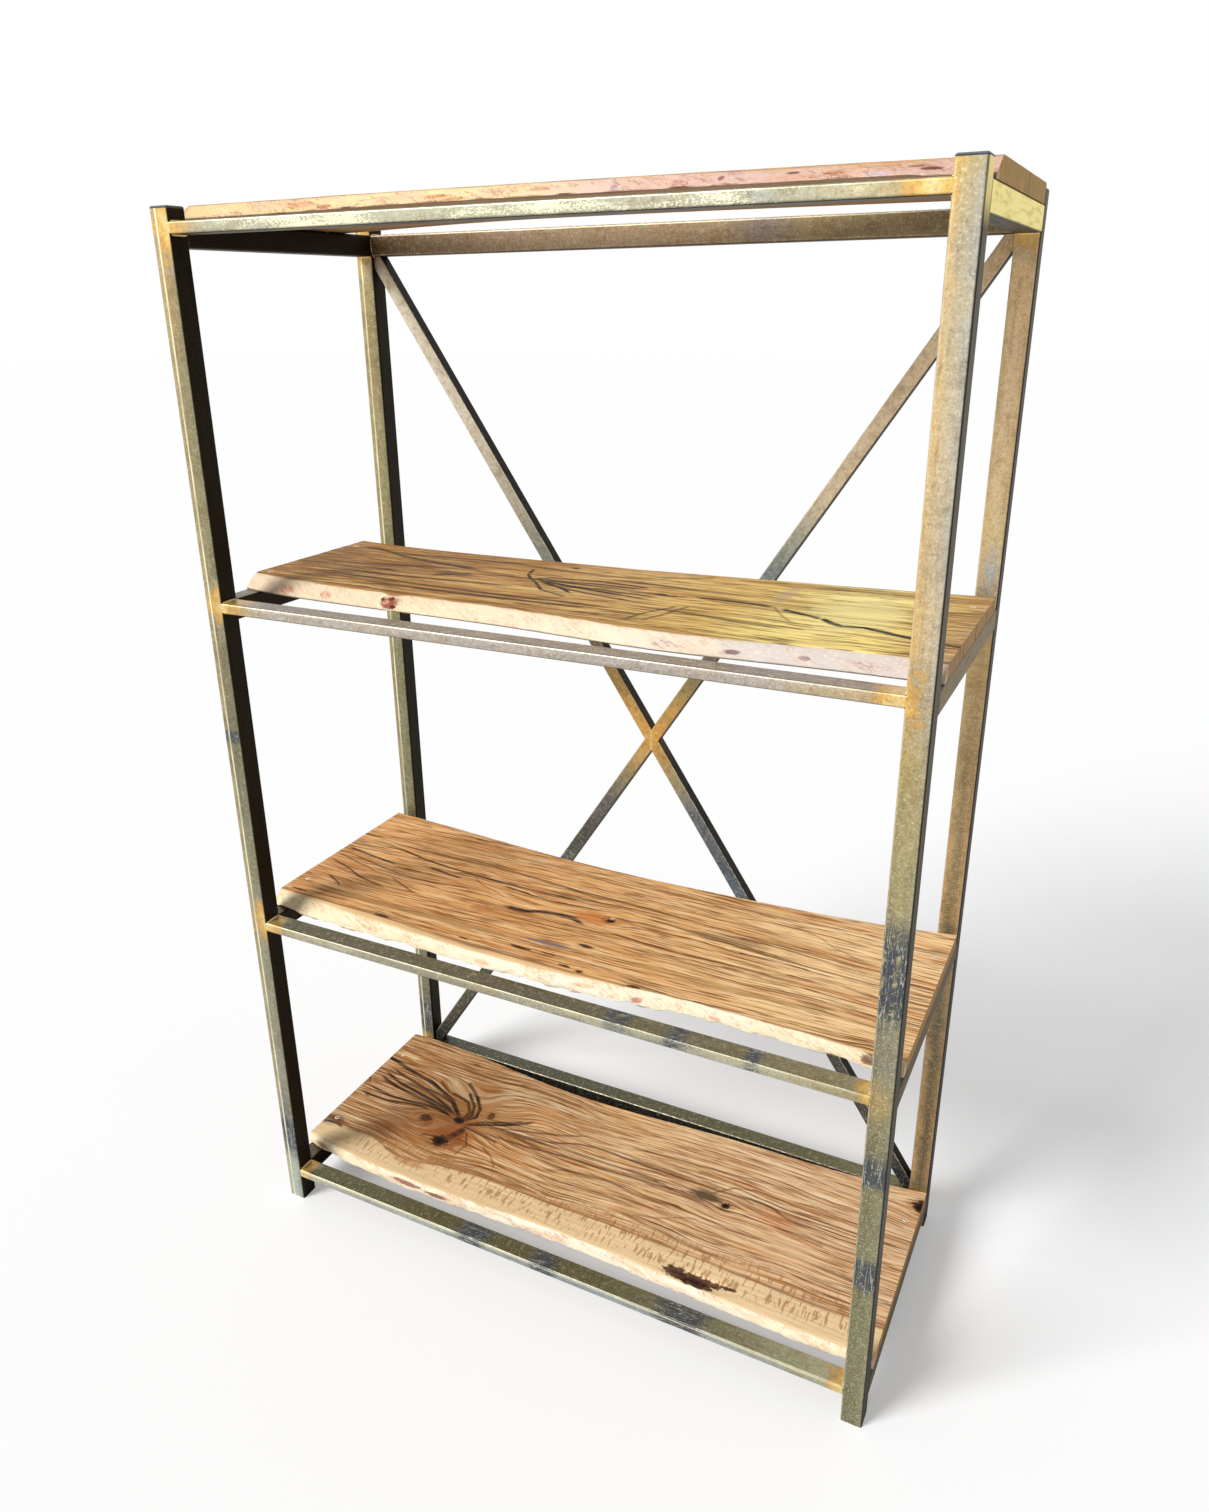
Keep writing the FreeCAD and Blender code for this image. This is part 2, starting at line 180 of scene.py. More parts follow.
def lacquered_steel(name, node, along, tones, side_shade_and_highlight, tops=None, welds=(), navy=(), flakes=0.0,
                    reach=34.0, scatter=0.0, highlight_line=None, wash=None, seam=None, corner_light=1.0):
    # Mill steel under clear lacquer. Tones and tops are colours along the tube of its front and back
    # and of its upper faces. The list after the tones gives colours along the tube for its right faces,
    # which are painted shade, turning to a painted reflection where they are bright. Welds are the places
    # of the heat marks along the tube, and seam is the side of a post that the rail was welded to.
    finish = Finish(name)
    place, x, y, z = finish.place, finish.x, finish.y, finish.z
    nx, ny, nz = finish.nx, finish.ny, finish.nz
    low, high = (corner * 1000.0 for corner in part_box(node))
    if along == "brace":
        from_middle = z - 782.0
        reach_out = x * x + from_middle * from_middle
        run = reach_out.sum("SQRT", reach_out)
        stretch = (0.05, 0.16, 0.05)
        square = ny * ny
        corner = 4.0 * square * (1.0 - square)
    else:
        run = {"X": x, "Y": y, "Z": z}[along]
        stretch = tuple(0.018 if axis == along else 0.16 for axis in "XYZ")
        squares = [facing * facing for facing in (nx, ny, nz)]
        corner = 4.0 * (squares[0] * squares[1] + squares[1] * squares[2] + squares[2] * squares[0])
    shift = float(sum(map(ord, name)) % 97)
    streaks = place.noise(stretch, 4.0, 0.6, shift)
    clouds = place.noise((0.03, 0.03, 0.03), 3.0, 0.6, shift)
    mottle = place.noise((0.13, 0.13, 0.13), 4.0, 0.65, shift + 11.0)
    grit = place.noise((0.9, 0.9, 0.9), 3.0, 0.7, shift)
    speckle = place.noise((0.34, 0.34, 0.34), 3.0, 0.65, shift + 7.0)

    def tinted(base, share, code, way):
        # The colour with another one multiplied or screened into it.
        mixed = base.node("Mix", {0: 1.0, 6: base, 7: colour(code)}, output=2, data_type="RGBA",
                          blend_type=way)
        return share.over(base, mixed)

    base = finish.stripe(run, tones)
    if tops is not None:
        base = nz.step(0.6, 0.9).over(base, finish.stripe(run, tops))
    if wash is not None:
        # The scale thins towards the two edges of the front face, and takes another colour at each.
        index = 0 if along == "Z" else 2
        share = ((x, y, z)[index] - low[index]) / (high[index] - low[index]) + (clouds - 0.5) * 0.7
        front = ny.step(-0.5, -0.9) * 0.72
        edges = [finish.stripe(run, code) if isinstance(code, list) else colour(code) for code in wash]
        base = (share.step(0.5, 0.0) * front).over(base, edges[0])
        base = (share.step(0.5, 1.0) * front).over(base, edges[1])
    base = tinted(base, streaks.step(0.48, 0.66) * 0.3, "#a89f88", "MULTIPLY")
    base = tinted(base, clouds.step(0.5, 0.68) * 0.35, "#d6b878", "MULTIPLY")
    base = tinted(base, mottle.step(0.5, 0.66) * 0.3, "#a39a80", "MULTIPLY")
    base = tinted(base, mottle.step(0.46, 0.34) * 0.2, "#cfc6a4", "SCREEN")

    clear = 1.0
    for centre, half in navy:
        gap = abs(run - centre) + (clouds - 0.5) * half
        patch = gap.step(half, 0.4 * half) * (streaks + (mottle - 0.5) * 0.6).step(0.31, 0.43)
        base = (patch * 0.96).over(base, "#363e48")
        clear = (1.0 - patch * 0.6) * clear
        vein = abs(streaks - 0.53).step(0.016, 0.004) * gap.step(half, 0.6 * half)
        base = (vein * 0.75).over(base, "#c9c5ae")
    if welds:
        heat = abs(run - welds[0])
        for weld in welds[1:]:
            heat = heat.least(abs(run - weld))
        if seam is not None:
            aside = (x - seam) * 1.15
            heat = heat * heat + aside * aside
            heat = heat.sum("SQRT", heat)
        heat = heat / reach + (clouds - 0.5) * 2.6 + (streaks - 0.5) * 0.8
        rings = heat.node("ValToRGB", {0: heat / 1.6}, stops=[
            (0.0, colour("#e8cd8a")), (0.22, colour("#e0b458")), (0.45, colour("#cb9a48")),
            (0.62, colour("#ad9566")), (0.78, colour("#9c9c90")), (1.0, colour("#a8a592"))])
        rings = tinted(rings, mottle.step(0.5, 0.68) * 0.35, "#b59a6a", "MULTIPLY")
        base = (heat.step(1.5, 0.75) * 0.78).over(base, rings)
    if flakes:
        skin = place.noise((0.3, 0.4, 0.5), 4.0, 0.75, shift + 31.0)
        where = place.noise((0.012, 0.03, 0.05), 3.0, 0.6, shift + 37.0)
        chips = (skin + (where - 0.5) * 0.9).step(0.52, 0.57) * (1.0 - nz.step(0.5, 0.8))
        chips = chips * heat.step(1.3, 2.6)
        base = (chips * flakes).over(base, "#e9e4c2")
    base = (grit.step(0.58, 0.68) * (0.3 + scatter) * clear).over(base, "#efe8d0")
    base = (speckle.step(0.56, 0.66) * (0.2 + scatter) * clear).over(base, "#efe8d0")
    base = (speckle.step(0.44, 0.35) * 0.3).over(base, "#5c543c")
    base = (grit.step(0.40, 0.31) * 0.35).over(base, "#4a4433")
    # A painted highlight: a thin pale line along the front face, as if light caught it there.
    if highlight_line is not None:
        axis, level, half = highlight_line
        line = abs({"X": x, "Z": z}[axis] - level).step(half, 0.2 * half)
        base = (line * (0.45 + 0.5 * streaks.step(0.4, 0.6)) * ny.step(-0.5, -0.9)).over(base, "#efe5bd")

    # Painted shade: the faces turned to the right take the side colours, dark where the lamp does not reach,
    # and bright where those colours are a painted reflection.
    side = tinted(finish.stripe(run, side_shade_and_highlight), streaks.step(0.48, 0.66) * 0.32, "#8f8878", "MULTIPLY")
    side = tinted(side, grit.step(0.52, 0.7) * 0.3, "#8f8878", "SCREEN")
    dark = nx.step(0.4, 0.75)
    base = dark.over(base, side)
    # Painted shade on the faces that look down.
    under = nz.step(-0.5, -0.85)
    base = (under * 0.85).over(base, "#2c2317")
    # Painted highlight: a pale line on the rounded corners that face left and upwards.
    turned = 0.5 if along == "brace" else 0.0
    corner_highlight = corner.step(0.25, 0.85) * (1.0 - nx.step(turned, turned + 0.35)) * (1.0 - nz.step(-0.1, -0.5))
    base = (corner_highlight * corner_light * (0.1 + 0.36 * mottle.step(0.4, 0.62))).over(base, "#f0e8c8")
    # Painted shade: with a corner strength under 1, the corners are darkened instead, to quiet their
    # highlight.
    corner_shade = corner.step(0.25, 0.85) * max(0.0, 1.0 - corner_light)
    base = tinted(base, corner_shade * 0.5, "#a09a8c", "MULTIPLY")
    # Painted shade: a dark line along the rounded corners that turn to the right.
    edge = corner.step(0.25, 0.8) * nx.step(turned + 0.05, turned + 0.4)
    base = (edge * 0.7).over(base, "#24211c")
    dark = dark.most(under)
    finish.set(base_color=base, roughness=0.32 + 0.2 * streaks + 0.15 * dark, metallic=0.55 + 0.42 * dark,
               coat_weight=0.2 - 0.2 * dark.most(corner_shade), coat_roughness=0.2)
    finish.bump(grit * 0.5 + mottle * 0.5 + streaks * 0.5, 0.1, 0.0005)
    return finish.material


def dress(node, material):
    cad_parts[node].material_slots[0].material = material


# Painted shade: colours along the faces turned to the right, near black here for the inward faces of the left
# posts.
inner_face_shade = [(0, "#231c11"), (700, "#1f180d"), (1550, "#1c150a")]
post_looks = {
    "front_left": dict(
        tones=[(0, "#9fb0ac"), (70, "#a9b4a8"), (110, "#6d7884"), (180, "#75797a"), (260, "#8a8a78"),
               (420, "#8f8c76"), (620, "#858268"), (830, "#6f6d56"), (960, "#7a6e50"), (1100, "#8f8460"),
               (1350, "#8a7d58"), (1550, "#b08c55")],
        side_shade_and_highlight=inner_face_shade, navy=[(135, 52), (850, 16)], welds=(537, 1044, 1520),
        highlight_line=("X", -490.5, 2.2), wash=("#b0a074", "#7d7856"), seam=-470.0),
    "front_right": dict(
        tones=[(0, "#706d4a"), (120, "#767350"), (300, "#7b7852"), (495, "#7c7752"), (537, "#a38f5a"),
               (585, "#84806a"), (800, "#a19568"), (980, "#ab9764"), (1090, "#c4ae88"), (1300, "#c2b08e"),
               (1480, "#b0a487"), (1550, "#b39f6e")],
        # The outer face of this post is painted shade, and painted bright straw near its top as a reflection.
        side_shade_and_highlight=[(0, "#3a362b"), (700, "#453d2f"), (1300, "#4b4332"), (1490, "#4a4029"), (1515, "#d9c57a"),
               (1550, "#e6d68c")],
        navy=[(265, 38), (430, 32), (715, 92)], welds=(1044,), scatter=0.16,
        wash=([(0, "#6d6b4c"), (500, "#716d4e"), (537, "#b3924e"), (580, "#6f6d52"),
               (900, "#9a8c5c"), (1080, "#d6ab58"), (1420, "#cfae74"), (1550, "#e0b458")],
              [(0, "#8d8a68"), (560, "#85826c"), (900, "#a39a74"), (1080, "#aeaca2"), (1550, "#9fa5a4")]),
        seam=470.0, reach=30.0),
    "rear_left": dict(
        tones=[(0, "#55605a"), (200, "#656c60"), (560, "#757459"), (900, "#807c5c"), (1065, "#8b8058"),
               (1300, "#94865c"), (1500, "#948352"), (1550, "#4a3a22")],
        side_shade_and_highlight=inner_face_shade, navy=[(120, 50)], welds=(47, 1517), highlight_line=("X", -491.0, 2.0),
        wash=("#a39466", "#787350")),
    "rear_right": dict(
        tones=[(0, "#5a4e33"), (150, "#6d6246"), (400, "#756a4e"), (560, "#827556"), (800, "#a48f64"),
               (1040, "#c9a86c"), (1095, "#a3b0b3"), (1140, "#cbb88d"), (1300, "#e0c397"), (1500, "#dcb986"),
               (1550, "#b38c52")],
        # The outer face of this post is painted shade.
        side_shade_and_highlight=[(0, "#2f2a22"), (1200, "#332d23"), (1550, "#4a4029")], welds=(47, 1517), scatter=0.15,
        wash=("#d2b27c", "#c4a272")),
}
post_steels = {}
for corner_name, look in post_looks.items():
    steel = lacquered_steel(f"post_steel_{corner_name}", f"post_{corner_name}", "Z", **look)
    post_steels[corner_name] = steel
    dress(f"post_{corner_name}", steel)
    dress(f"foot_plate_{corner_name}", steel)

# Post caps: black moulded plugs pushed into the open tops of the posts, dulled and a little dusty
# on top, with a painted highlight in lighter grey along their upward-sloping edges.
cap_finish = Finish("black_cap")
dust = cap_finish.place.noise((0.12, 0.12, 0.12), 4.0, 0.6)
pits = cap_finish.place.noise((1.6, 1.6, 1.6), 2.0)
cap_colour = (dust.step(0.45, 0.7) * 0.5).over("#25282c", "#4a4e52")
# Painted highlight on the edges that slope upwards.
cap_edge_highlight = (cap_finish.nz.step(0.2, 0.6) * (1.0 - cap_finish.nz.step(0.8, 0.98)))
cap_colour = (cap_edge_highlight * 0.6).over(cap_colour, "#6b6e70")
cap_finish.set(base_color=cap_colour, roughness=0.38 + 0.25 * dust)
cap_finish.bump(pits, 0.2, 0.0003)
for corner_name in post_looks:
    dress(f"post_cap_{corner_name}", cap_finish.material)

# Front rails: shallow 30 by 15 mm tube between the front posts, one under each board's front edge.
# The lacquer has flaked in pale scabs on the top one, and all are straw-coloured at the welds.
front_rail_looks = {
    "bottom": dict(
        tones=[(-470, "#a9b3ab"), (-420, "#a7a890"), (-250, "#a3a79f"), (0, "#8f979b"), (250, "#99a0a0"),
               (470, "#a09c74")],
        tops=[(-470, "#4f4c26"), (-200, "#565228"), (100, "#605c34"), (300, "#7f7d5c"), (470, "#b5b594")],
        navy=[(-130, 40), (0, 30), (230, 50)], welds=(-470, 470), reach=22.0, highlight_line=("Z", 58.5, 1.4),
        wash=("#8f98a0", "#c9cab4")),
    "lower": dict(
        tones=[(-470, "#b5a47a"), (-350, "#938f7a"), (0, "#94907a"), (200, "#8c8a7c"), (350, "#9f9a80"),
               (430, "#a39872"), (470, "#b8995a")],
        tops=[(-470, "#524a2a"), (0, "#5a5036"), (300, "#726a4a"), (470, "#8a825a")],
        navy=[(130, 26), (215, 20), (320, 14)], welds=(-470, 478), flakes=0.25, reach=26.0,
        wash=("#8c866e", "#bfb89e")),
    "upper": dict(
        tones=[(-470, "#c2a35f"), (-380, "#b5ab9e"), (0, "#ada297"), (300, "#aba097"), (390, "#b8a47c"),
               (470, "#cf9640")],
        tops=[(-470, "#7d7365"), (0, "#87796c"), (300, "#8f857b"), (470, "#9b9281")],
        welds=(-470, 470), scatter=0.2, reach=40.0, wash=("#a39a8e", "#c9c0b4")),
    "top": dict(
        tones=[(-470, "#c9a062"), (-400, "#a6a590"), (0, "#a9a68c"), (300, "#9fa092"), (400, "#b8aa7c"),
               (470, "#d9b468")],
        tops=[(-470, "#6d6446"), (470, "#7d7450")],
        welds=(-480, 455), flakes=0.8, reach=40.0, wash=("#a3a08a", "#b0ac94")),
}
# Painted shade on the right-hand ends of the rails that run across the frame.
rail_end_shade = [(-500, "#6b5f45"), (500, "#6b5f45")]
for level_name, look in front_rail_looks.items():
    steel = lacquered_steel(f"front_rail_steel_{level_name}", f"front_rail_{level_name}", "X",
                            side_shade_and_highlight=rail_end_shade, corner_light=0.15, **look)
    dress(f"front_rail_{level_name}", steel)

# Side rails: square tube between the front and rear posts, which carries the ends of the boards.
# The first colour of each is painted shade on the face turned to the right: near black on the inward
# faces of the left ones, brown on the outer faces of the right ones, and bright straw on the top right
# one, there as a painted reflection.
side_rail_looks = {
    "left_bottom": ("#1d1a11", "#4c4733"), "left_lower": ("#2a2213", "#5a5138"),
    "left_upper": ("#231b0f", "#5a5138"), "left_top": ("#1d140a", "#3a2f1c"),
    "right_bottom": ("#6a5e4b", "#5d563f"), "right_lower": ("#5f503b", "#5d563f"),
    "right_upper": ("#7a6a47", "#6a6044"), "right_top": ("#efdf8c", "#8a7a4a"),
}
for rail_name, (side, top) in side_rail_looks.items():
    steel = lacquered_steel(
        f"side_rail_steel_{rail_name}", f"side_rail_{rail_name}", "Y",
        tones=[(-185, "#8a8062"), (185, "#8a8062")],
        side_shade_and_highlight=[(-185, side), (185, side)], tops=[(-185, top), (185, top)], scatter=0.06)
    dress(f"side_rail_{rail_name}", steel)

# Rear rails: square tube between the rear posts, at the floor and under the top board. The scale on
# them was left brown and finely woven-looking by the rolls of the mill. The near-black front and back
# of the bottom one are painted shade.
rear_rail_looks = {
    # The near-black front and back of the bottom rail are painted shade.
    "bottom": dict(tones=[(-470, "#12140f"), (470, "#1b1b12")],
                   tops=[(-470, "#2e3020"), (0, "#45431c"), (300, "#545026"), (470, "#6c683c")]),
    "top": dict(tones=[(-470, "#5c3512"), (-420, "#7a6040"), (-200, "#9a8266"), (100, "#977f5f"),
                       (160, "#85756a"), (220, "#99855f"), (470, "#83704f")],
                tops=[(-470, "#54482e"), (470, "#54482e")]),
}
for level_name, look in rear_rail_looks.items():
    steel = lacquered_steel(f"rear_rail_steel_{level_name}", f"rear_rail_{level_name}", "X",
                            side_shade_and_highlight=rail_end_shade, **look)
    dress(f"rear_rail_{level_name}", steel)

# Cross brace: four 20 mm tubes that meet in one flush, ground crossing in the back of the frame.
# The crossing is gold from the weld, and the arms run out through olive and blue to grey.
brace_looks = {
    "upper_right": [(0, "#efbb5a"), (60, "#e0b05a"), (110, "#b09a5c"), (170, "#77756a"), (330, "#6e7a7b"),
                    (400, "#9ba198"), (480, "#cebda0"), (700, "#d9c099"), (860, "#c0a378")],
    "upper_left": [(0, "#efbb5a"), (60, "#e0b05a"), (120, "#ad8f4c"), (190, "#7b6f5a"), (330, "#7c8074"),
                   (420, "#b3ac98"), (560, "#d0c4ac"), (800, "#d5c9b1"), (860, "#7a5a3d")],
    "lower_right": [(0, "#efbb5a"), (35, "#d4b068"), (75, "#aaa27a"), (130, "#6c7a88"), (220, "#566678"),
                    (300, "#515a60"), (700, "#4a5057"), (860, "#272b33")],
    "lower_left": [(0, "#efbb5a"), (35, "#d0ab64"), (80, "#9c9470"), (140, "#66707a"), (230, "#565a55"),
                   (330, "#4d524b"), (700, "#4f5446"), (860, "#1d2327")],
}
for arm_name, tones in brace_looks.items():
    # The right-facing sides of the arms are painted shade, and their corners carry a stronger painted
    # highlight.
    steel = lacquered_steel(f"brace_steel_{arm_name}", f"brace_{arm_name}", "brace", tones,
                            side_shade_and_highlight=[(0, "#4a3a1c"), (60, "#1d1810"), (860, "#1a160f")],
                            scatter=0.05, corner_light=1.6)
    dress(f"brace_{arm_name}", steel)

# Weld on the crossing: a low bead run up the joint front and back, ground until it nearly vanishes
# and left golden.
weld_finish = Finish("weld_bead_steel")
ripple = weld_finish.place.noise((0.5, 0.5, 0.9), 3.0, 0.6)
weld_colour = weld_finish.stripe(ripple * 100.0, [(30, "#c89a4e"), (50, "#f0cd7e"), (70, "#fff0b8")])
weld_finish.set(base_color=weld_colour, roughness=0.4, metallic=0.4, coat_weight=0.3, coat_roughness=0.2)
weld_finish.bump(ripple, 0.5, 0.0006)
dress("brace_cross_weld", weld_finish.material)

# Weld beads: short runs of weld in the corners where the rails meet the posts, with the ripples of
# the torch, straw and brown from the heat.


BEAD_RADIUS, BEAD_LENGTH, BEAD_CUTS = 0.0022, 0.024, 11
FACE_BEAD_RADIUS, FACE_BEAD_INSET = 0.7 * BEAD_RADIUS, 0.001


def pick(piece, kind, choose):
    # Edit mode, with only the chosen edges or faces of the piece selected.
    bpy.ops.object.mode_set(mode="EDIT")
    bpy.ops.mesh.select_mode(type=kind)
    bpy.ops.mesh.select_all(action="DESELECT")
    bpy.ops.object.mode_set(mode="OBJECT")
    for part in choose(piece.data.edges if kind == "EDGE" else piece.data.polygons):
        part.select = True
    bpy.ops.object.mode_set(mode="EDIT")


def weld_bead(centre, run, radius):
    # One bead, a drawn-out drop with ripples, along a run direction.
    bpy.ops.object.select_all(action="DESELECT")
    bpy.ops.mesh.primitive_cylinder_add(vertices=12, radius=radius, depth=BEAD_LENGTH, end_fill_type="TRIFAN")
    bead = bpy.context.object

    def long_edges(edges):
        spans = [[bead.data.vertices[index].co.z for index in edge.vertices] for edge in edges]
        return [edge for edge, (one, two) in zip(edges, spans) if abs(one - two) > 0.9 * BEAD_LENGTH]

    pick(bead, "EDGE", long_edges)
    bpy.ops.mesh.subdivide(number_cuts=BEAD_CUTS)
    bpy.ops.object.mode_set(mode="OBJECT")
    for vertex in bead.data.vertices:
        share = 2.0 * vertex.co.z / BEAD_LENGTH
        swell = (0.86 + 0.14 * math.cos(share * 19.0)) * (1.0 - 0.45 * abs(share) ** 4)
        vertex.co.x *= swell
        vertex.co.y *= swell
    turn = Vector((0, 0, 1)).rotation_difference(Vector(run)).to_matrix().to_4x4()
    bead.data.transform(Matrix.Translation(centre) @ turn)
    bpy.ops.object.shade_smooth()
    return bead


def rail_beads(kind, node):
    # The beads at both ends of one rail.
    low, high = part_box(node)
    if kind == "side":
        middle = (low.x + high.x) / 2
        return [weld_bead((middle, end, low.z), (1, 0, 0), BEAD_RADIUS) for end in (low.y, high.y)]
    beads = []
    middle = (low.y + high.y) / 2
    for end in (low.x, high.x):
        for height in (low.z, high.z):
            beads.append(weld_bead((end, middle, height), (0, 1, 0), BEAD_RADIUS))
        if kind == "rear":
            face = (end, low.y + FACE_BEAD_INSET, (low.z + high.z) / 2)
            beads.append(weld_bead(face, (0, 0, 1), FACE_BEAD_RADIUS))
    return beads


def joined(name, pieces, material):
    # Like pieces made one, with a name and a finish.
    bpy.ops.object.select_all(action="DESELECT")
    for piece in pieces:
        piece.select_set(True)
    bpy.context.view_layer.objects.active = pieces[0]
    bpy.ops.object.join()
    whole = bpy.context.object
    whole.name = name
    whole.data.materials.append(material)
    return whole


for kind, rail_names in (("front", front_rail_looks), ("side", side_rail_looks), ("rear", rear_rail_looks)):
    beads = []
    for rail_name in rail_names:
        beads += rail_beads(kind, f"{kind}_rail_{rail_name}")
    weld_beads = joined(f"weld_beads_{kind}", beads, weld_finish.material)
    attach(weld_beads, "root")

# Ground welds: the seams on the front of the frame, filled with weld up to the faces of the tubes and
# ground flush, so that rail and post read as one surface there.
FILL, FILL_SHORT, FILL_PROUD, FILL_ROUND = 0.003, 0.002, 0.00002, 0.0008
for side_name, post_edge, inward in (("left", -0.47, -1), ("right", 0.47, 1)):
    fills = []
    for level_name in front_rail_looks:
        low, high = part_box(f"front_rail_{level_name}")
        middle = (post_edge + inward * FILL / 2, low.y + FILL_PROUD + FILL / 2, (low.z + high.z) / 2)
        bpy.ops.object.select_all(action="DESELECT")
        bpy.ops.mesh.primitive_cube_add(size=1.0)
        fill = bpy.context.object
        fill.data.transform(Matrix.Translation(middle)
                            @ Matrix.Diagonal((FILL, FILL, high.z - low.z - FILL_SHORT, 1.0)))
        pick(fill, "FACE", lambda faces: [face for face in faces if abs(face.normal.z) > 0.9])
        bpy.ops.mesh.bevel(offset=FILL_ROUND, segments=2, affect="EDGES")
        bpy.ops.object.mode_set(mode="OBJECT")
        fills.append(fill)
    ground_weld = joined(f"ground_welds_{side_name}", fills, post_steels[f"front_{side_name}"])
    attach(ground_weld, "root")

# Boards: four planks of oak, sawn through and through, with the waney edge of the trunk left on.
# They are planed, oiled and screwed down, and each keeps its own knots, shakes and streaks.


def live_oak(name, level, tones, bright, deep, line, dark_line, pitch, sap_line, sap_tone, edge_tone,
             knots=(), strokes=(), star=None, busy=(), stains=(), pockets=(), edge_marks=(), wander=36.0,
             flecks=None, rosy="#dcae88", bark_lines="#b06a48", splits=(), end_tone="#b08850", foot=2.6):
    # Oiled oak. Tones are its colours along the board and pitch is the rings to a millimetre across it.
    # Knots, strokes, stains and bark pockets lie where they were found on the plank, in millimetres.
    # Foot is the height in millimetres of a painted shadow line along the bottom of the front edge.
    finish = Finish(name)
    place, x, y, z = finish.place, finish.x, finish.y, finish.z
    nx, ny, nz = finish.nx, finish.ny, finish.nz
    low, high = (corner * 1000.0 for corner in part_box(f"board_{level}"))
    shift = float(sum(map(ord, name)) % 89)
    drift = place.noise((0.0035, 0.007, 0.0), 2.0, 0.5, shift)
    across = y + (drift - 0.5) * wander

    def oval(middle_x, middle_y, reach_x, reach_y):
        # 0 in the middle of an oval mark, and 1 on its rim.
        dx, dy = (x - middle_x) / reach_x, (y - middle_y) / reach_y
        return dx * dx + dy * dy

    for kx, ky, rx, ry, _, _ in knots:
        near = oval(kx, ky, 3.2 * rx, 3.2 * ry) * -1.0
        across = across - 0.6 * near.sum("EXPONENT", near) * (y - ky)
    gathered = x * 0.0
    if star is not None:
        # The grain draws together where a cluster of branches grew out of the trunk.
        near = oval(*star) * -1.0
        gathered = near.sum("EXPONENT", near)
        across = across + 2.0 * gathered * y.step(star[1] - 60.0, star[1]) * (y - star[1])

    def grained(along, over, detail, roughness, offset):
        # A cloudy value drawn out along the grain.
        spot = place.node("CombineXYZ", {0: x * along, 1: across * over, 2: z * over + shift + offset})
        return spot.node("TexNoise", {"Vector": spot, "Scale": 1.0, "Detail": detail, "Roughness": roughness})

    broad = grained(0.0026, 0.55 * pitch, 3.0, 0.55, 0.0)
    sway = grained(0.0045, 0.3 * pitch, 4.0, 0.6, 3.0)
    pores = grained(0.015, 4.8 * pitch, 2.0, 0.6, 9.0)
    dashes = grained(0.007, 1.7 * pitch, 3.0, 0.6, 19.0)
    ragged = place.noise((0.09, 0.14, 0.0), 4.0, 0.7, shift + 29.0)
    phase = across * pitch + (sway - 0.5) * 2.4
    ring = phase.sum("FLOOR", phase)
    growth = phase.sum("FRACT", phase)
    ring_place = place.node("CombineXYZ", {0: x * 0.0045, 1: ring * 0.73, 2: shift})
    own = ring_place.node("TexNoise", {"Vector": ring_place, "Scale": 1.0, "Detail": 2.0, "Roughness": 0.5})
    lively = place.noise((0.004, 0.011, 0.0), 2.0, 0.5, shift + 83.0).step(0.42, 0.6).most(gathered)
    for zone in busy:
        lively = lively.most(oval(*zone).step(1.2, 0.5) * 1.3)

    wood = finish.stripe(x, tones)
    wood = (broad.step(0.47, 0.66) * 0.7).over(wood, deep)
    wood = (broad.step(0.45, 0.30) * 0.5).over(wood, bright)
    wood = (growth.step(0.3, 0.95) * own.step(0.4, 0.6) * (0.2 + 0.45 * lively)).over(wood, line)
    wood = (growth.step(0.3, 0.0) * (0.15 + 0.2 * lively) * (1.0 - gathered)).over(wood, bright)
    vein = growth.step(0.77, 0.87) * growth.step(1.0, 0.94) * own.step(0.49, 0.6) * (0.12 + 0.88 * lively)
    wood = (vein * 0.9).over(wood, dark_line)
    wood = (dashes.step(0.54, 0.65) * 0.58).over(wood, line)
    wood = (dashes.step(0.46, 0.32) * 0.42 * (1.0 - gathered)).over(wood, bright)
    wood = (pores.step(0.53, 0.63) * 0.82).over(wood, line)
    wood = (pores.step(0.46, 0.35) * 0.55 * (1.0 - gathered)).over(wood, bright)

    def path(points):
        # The height of a drawn boundary at each place along the board.
        located = [((px + 500.0) / 1000.0, (py + 200.0) / 400.0) for px, py in points]
        share = (x + 500.0) / 1000.0
        return share.node("FloatCurve", {"Value": share}, points=located) * 400.0 - 200.0

    if sap_line:
        edge_gap = y - path(sap_line) + (drift - 0.5) * 12.0 + (dashes - 0.5) * 8.0
        pale = edge_gap.step(5.0, -6.0)
        wood = (pale * 0.72).over(wood, sap_tone)
        wood = (abs(edge_gap - 1.0).step(3.4, 0.6) * 0.6).over(wood, line)
    if flecks is not None:
        left, right, under, over = flecks
        ticks = place.noise((0.2, 0.04, 0.0), 2.0, 0.6, shift + 5.0)
        zone = (x.step(left - 40.0, left + 40.0) * x.step(right + 30.0, right - 30.0)
                * y.step(under - 12.0, under + 8.0) * y.step(over + 18.0, over - 12.0))
        wood = (ticks.step(0.53, 0.62) * zone * 0.7).over(wood, "#a3713f")
    for sx, sy, rx, ry, code, strength in stains:
        spot = (oval(sx, sy, rx, ry) + (dashes - 0.5) * 1.8 + (ragged - 0.5) * 1.2).step(1.0, 0.1)
        wood = (spot * strength).over(wood, code)

    tremble = (place.noise((0.04, 0.04, 0.0), 3.0, 0.6, shift + 17.0) - 0.5) * 3.2
    sketch = place.node("CombineXYZ", {0: x, 1: y + tremble})

    def trace(points):
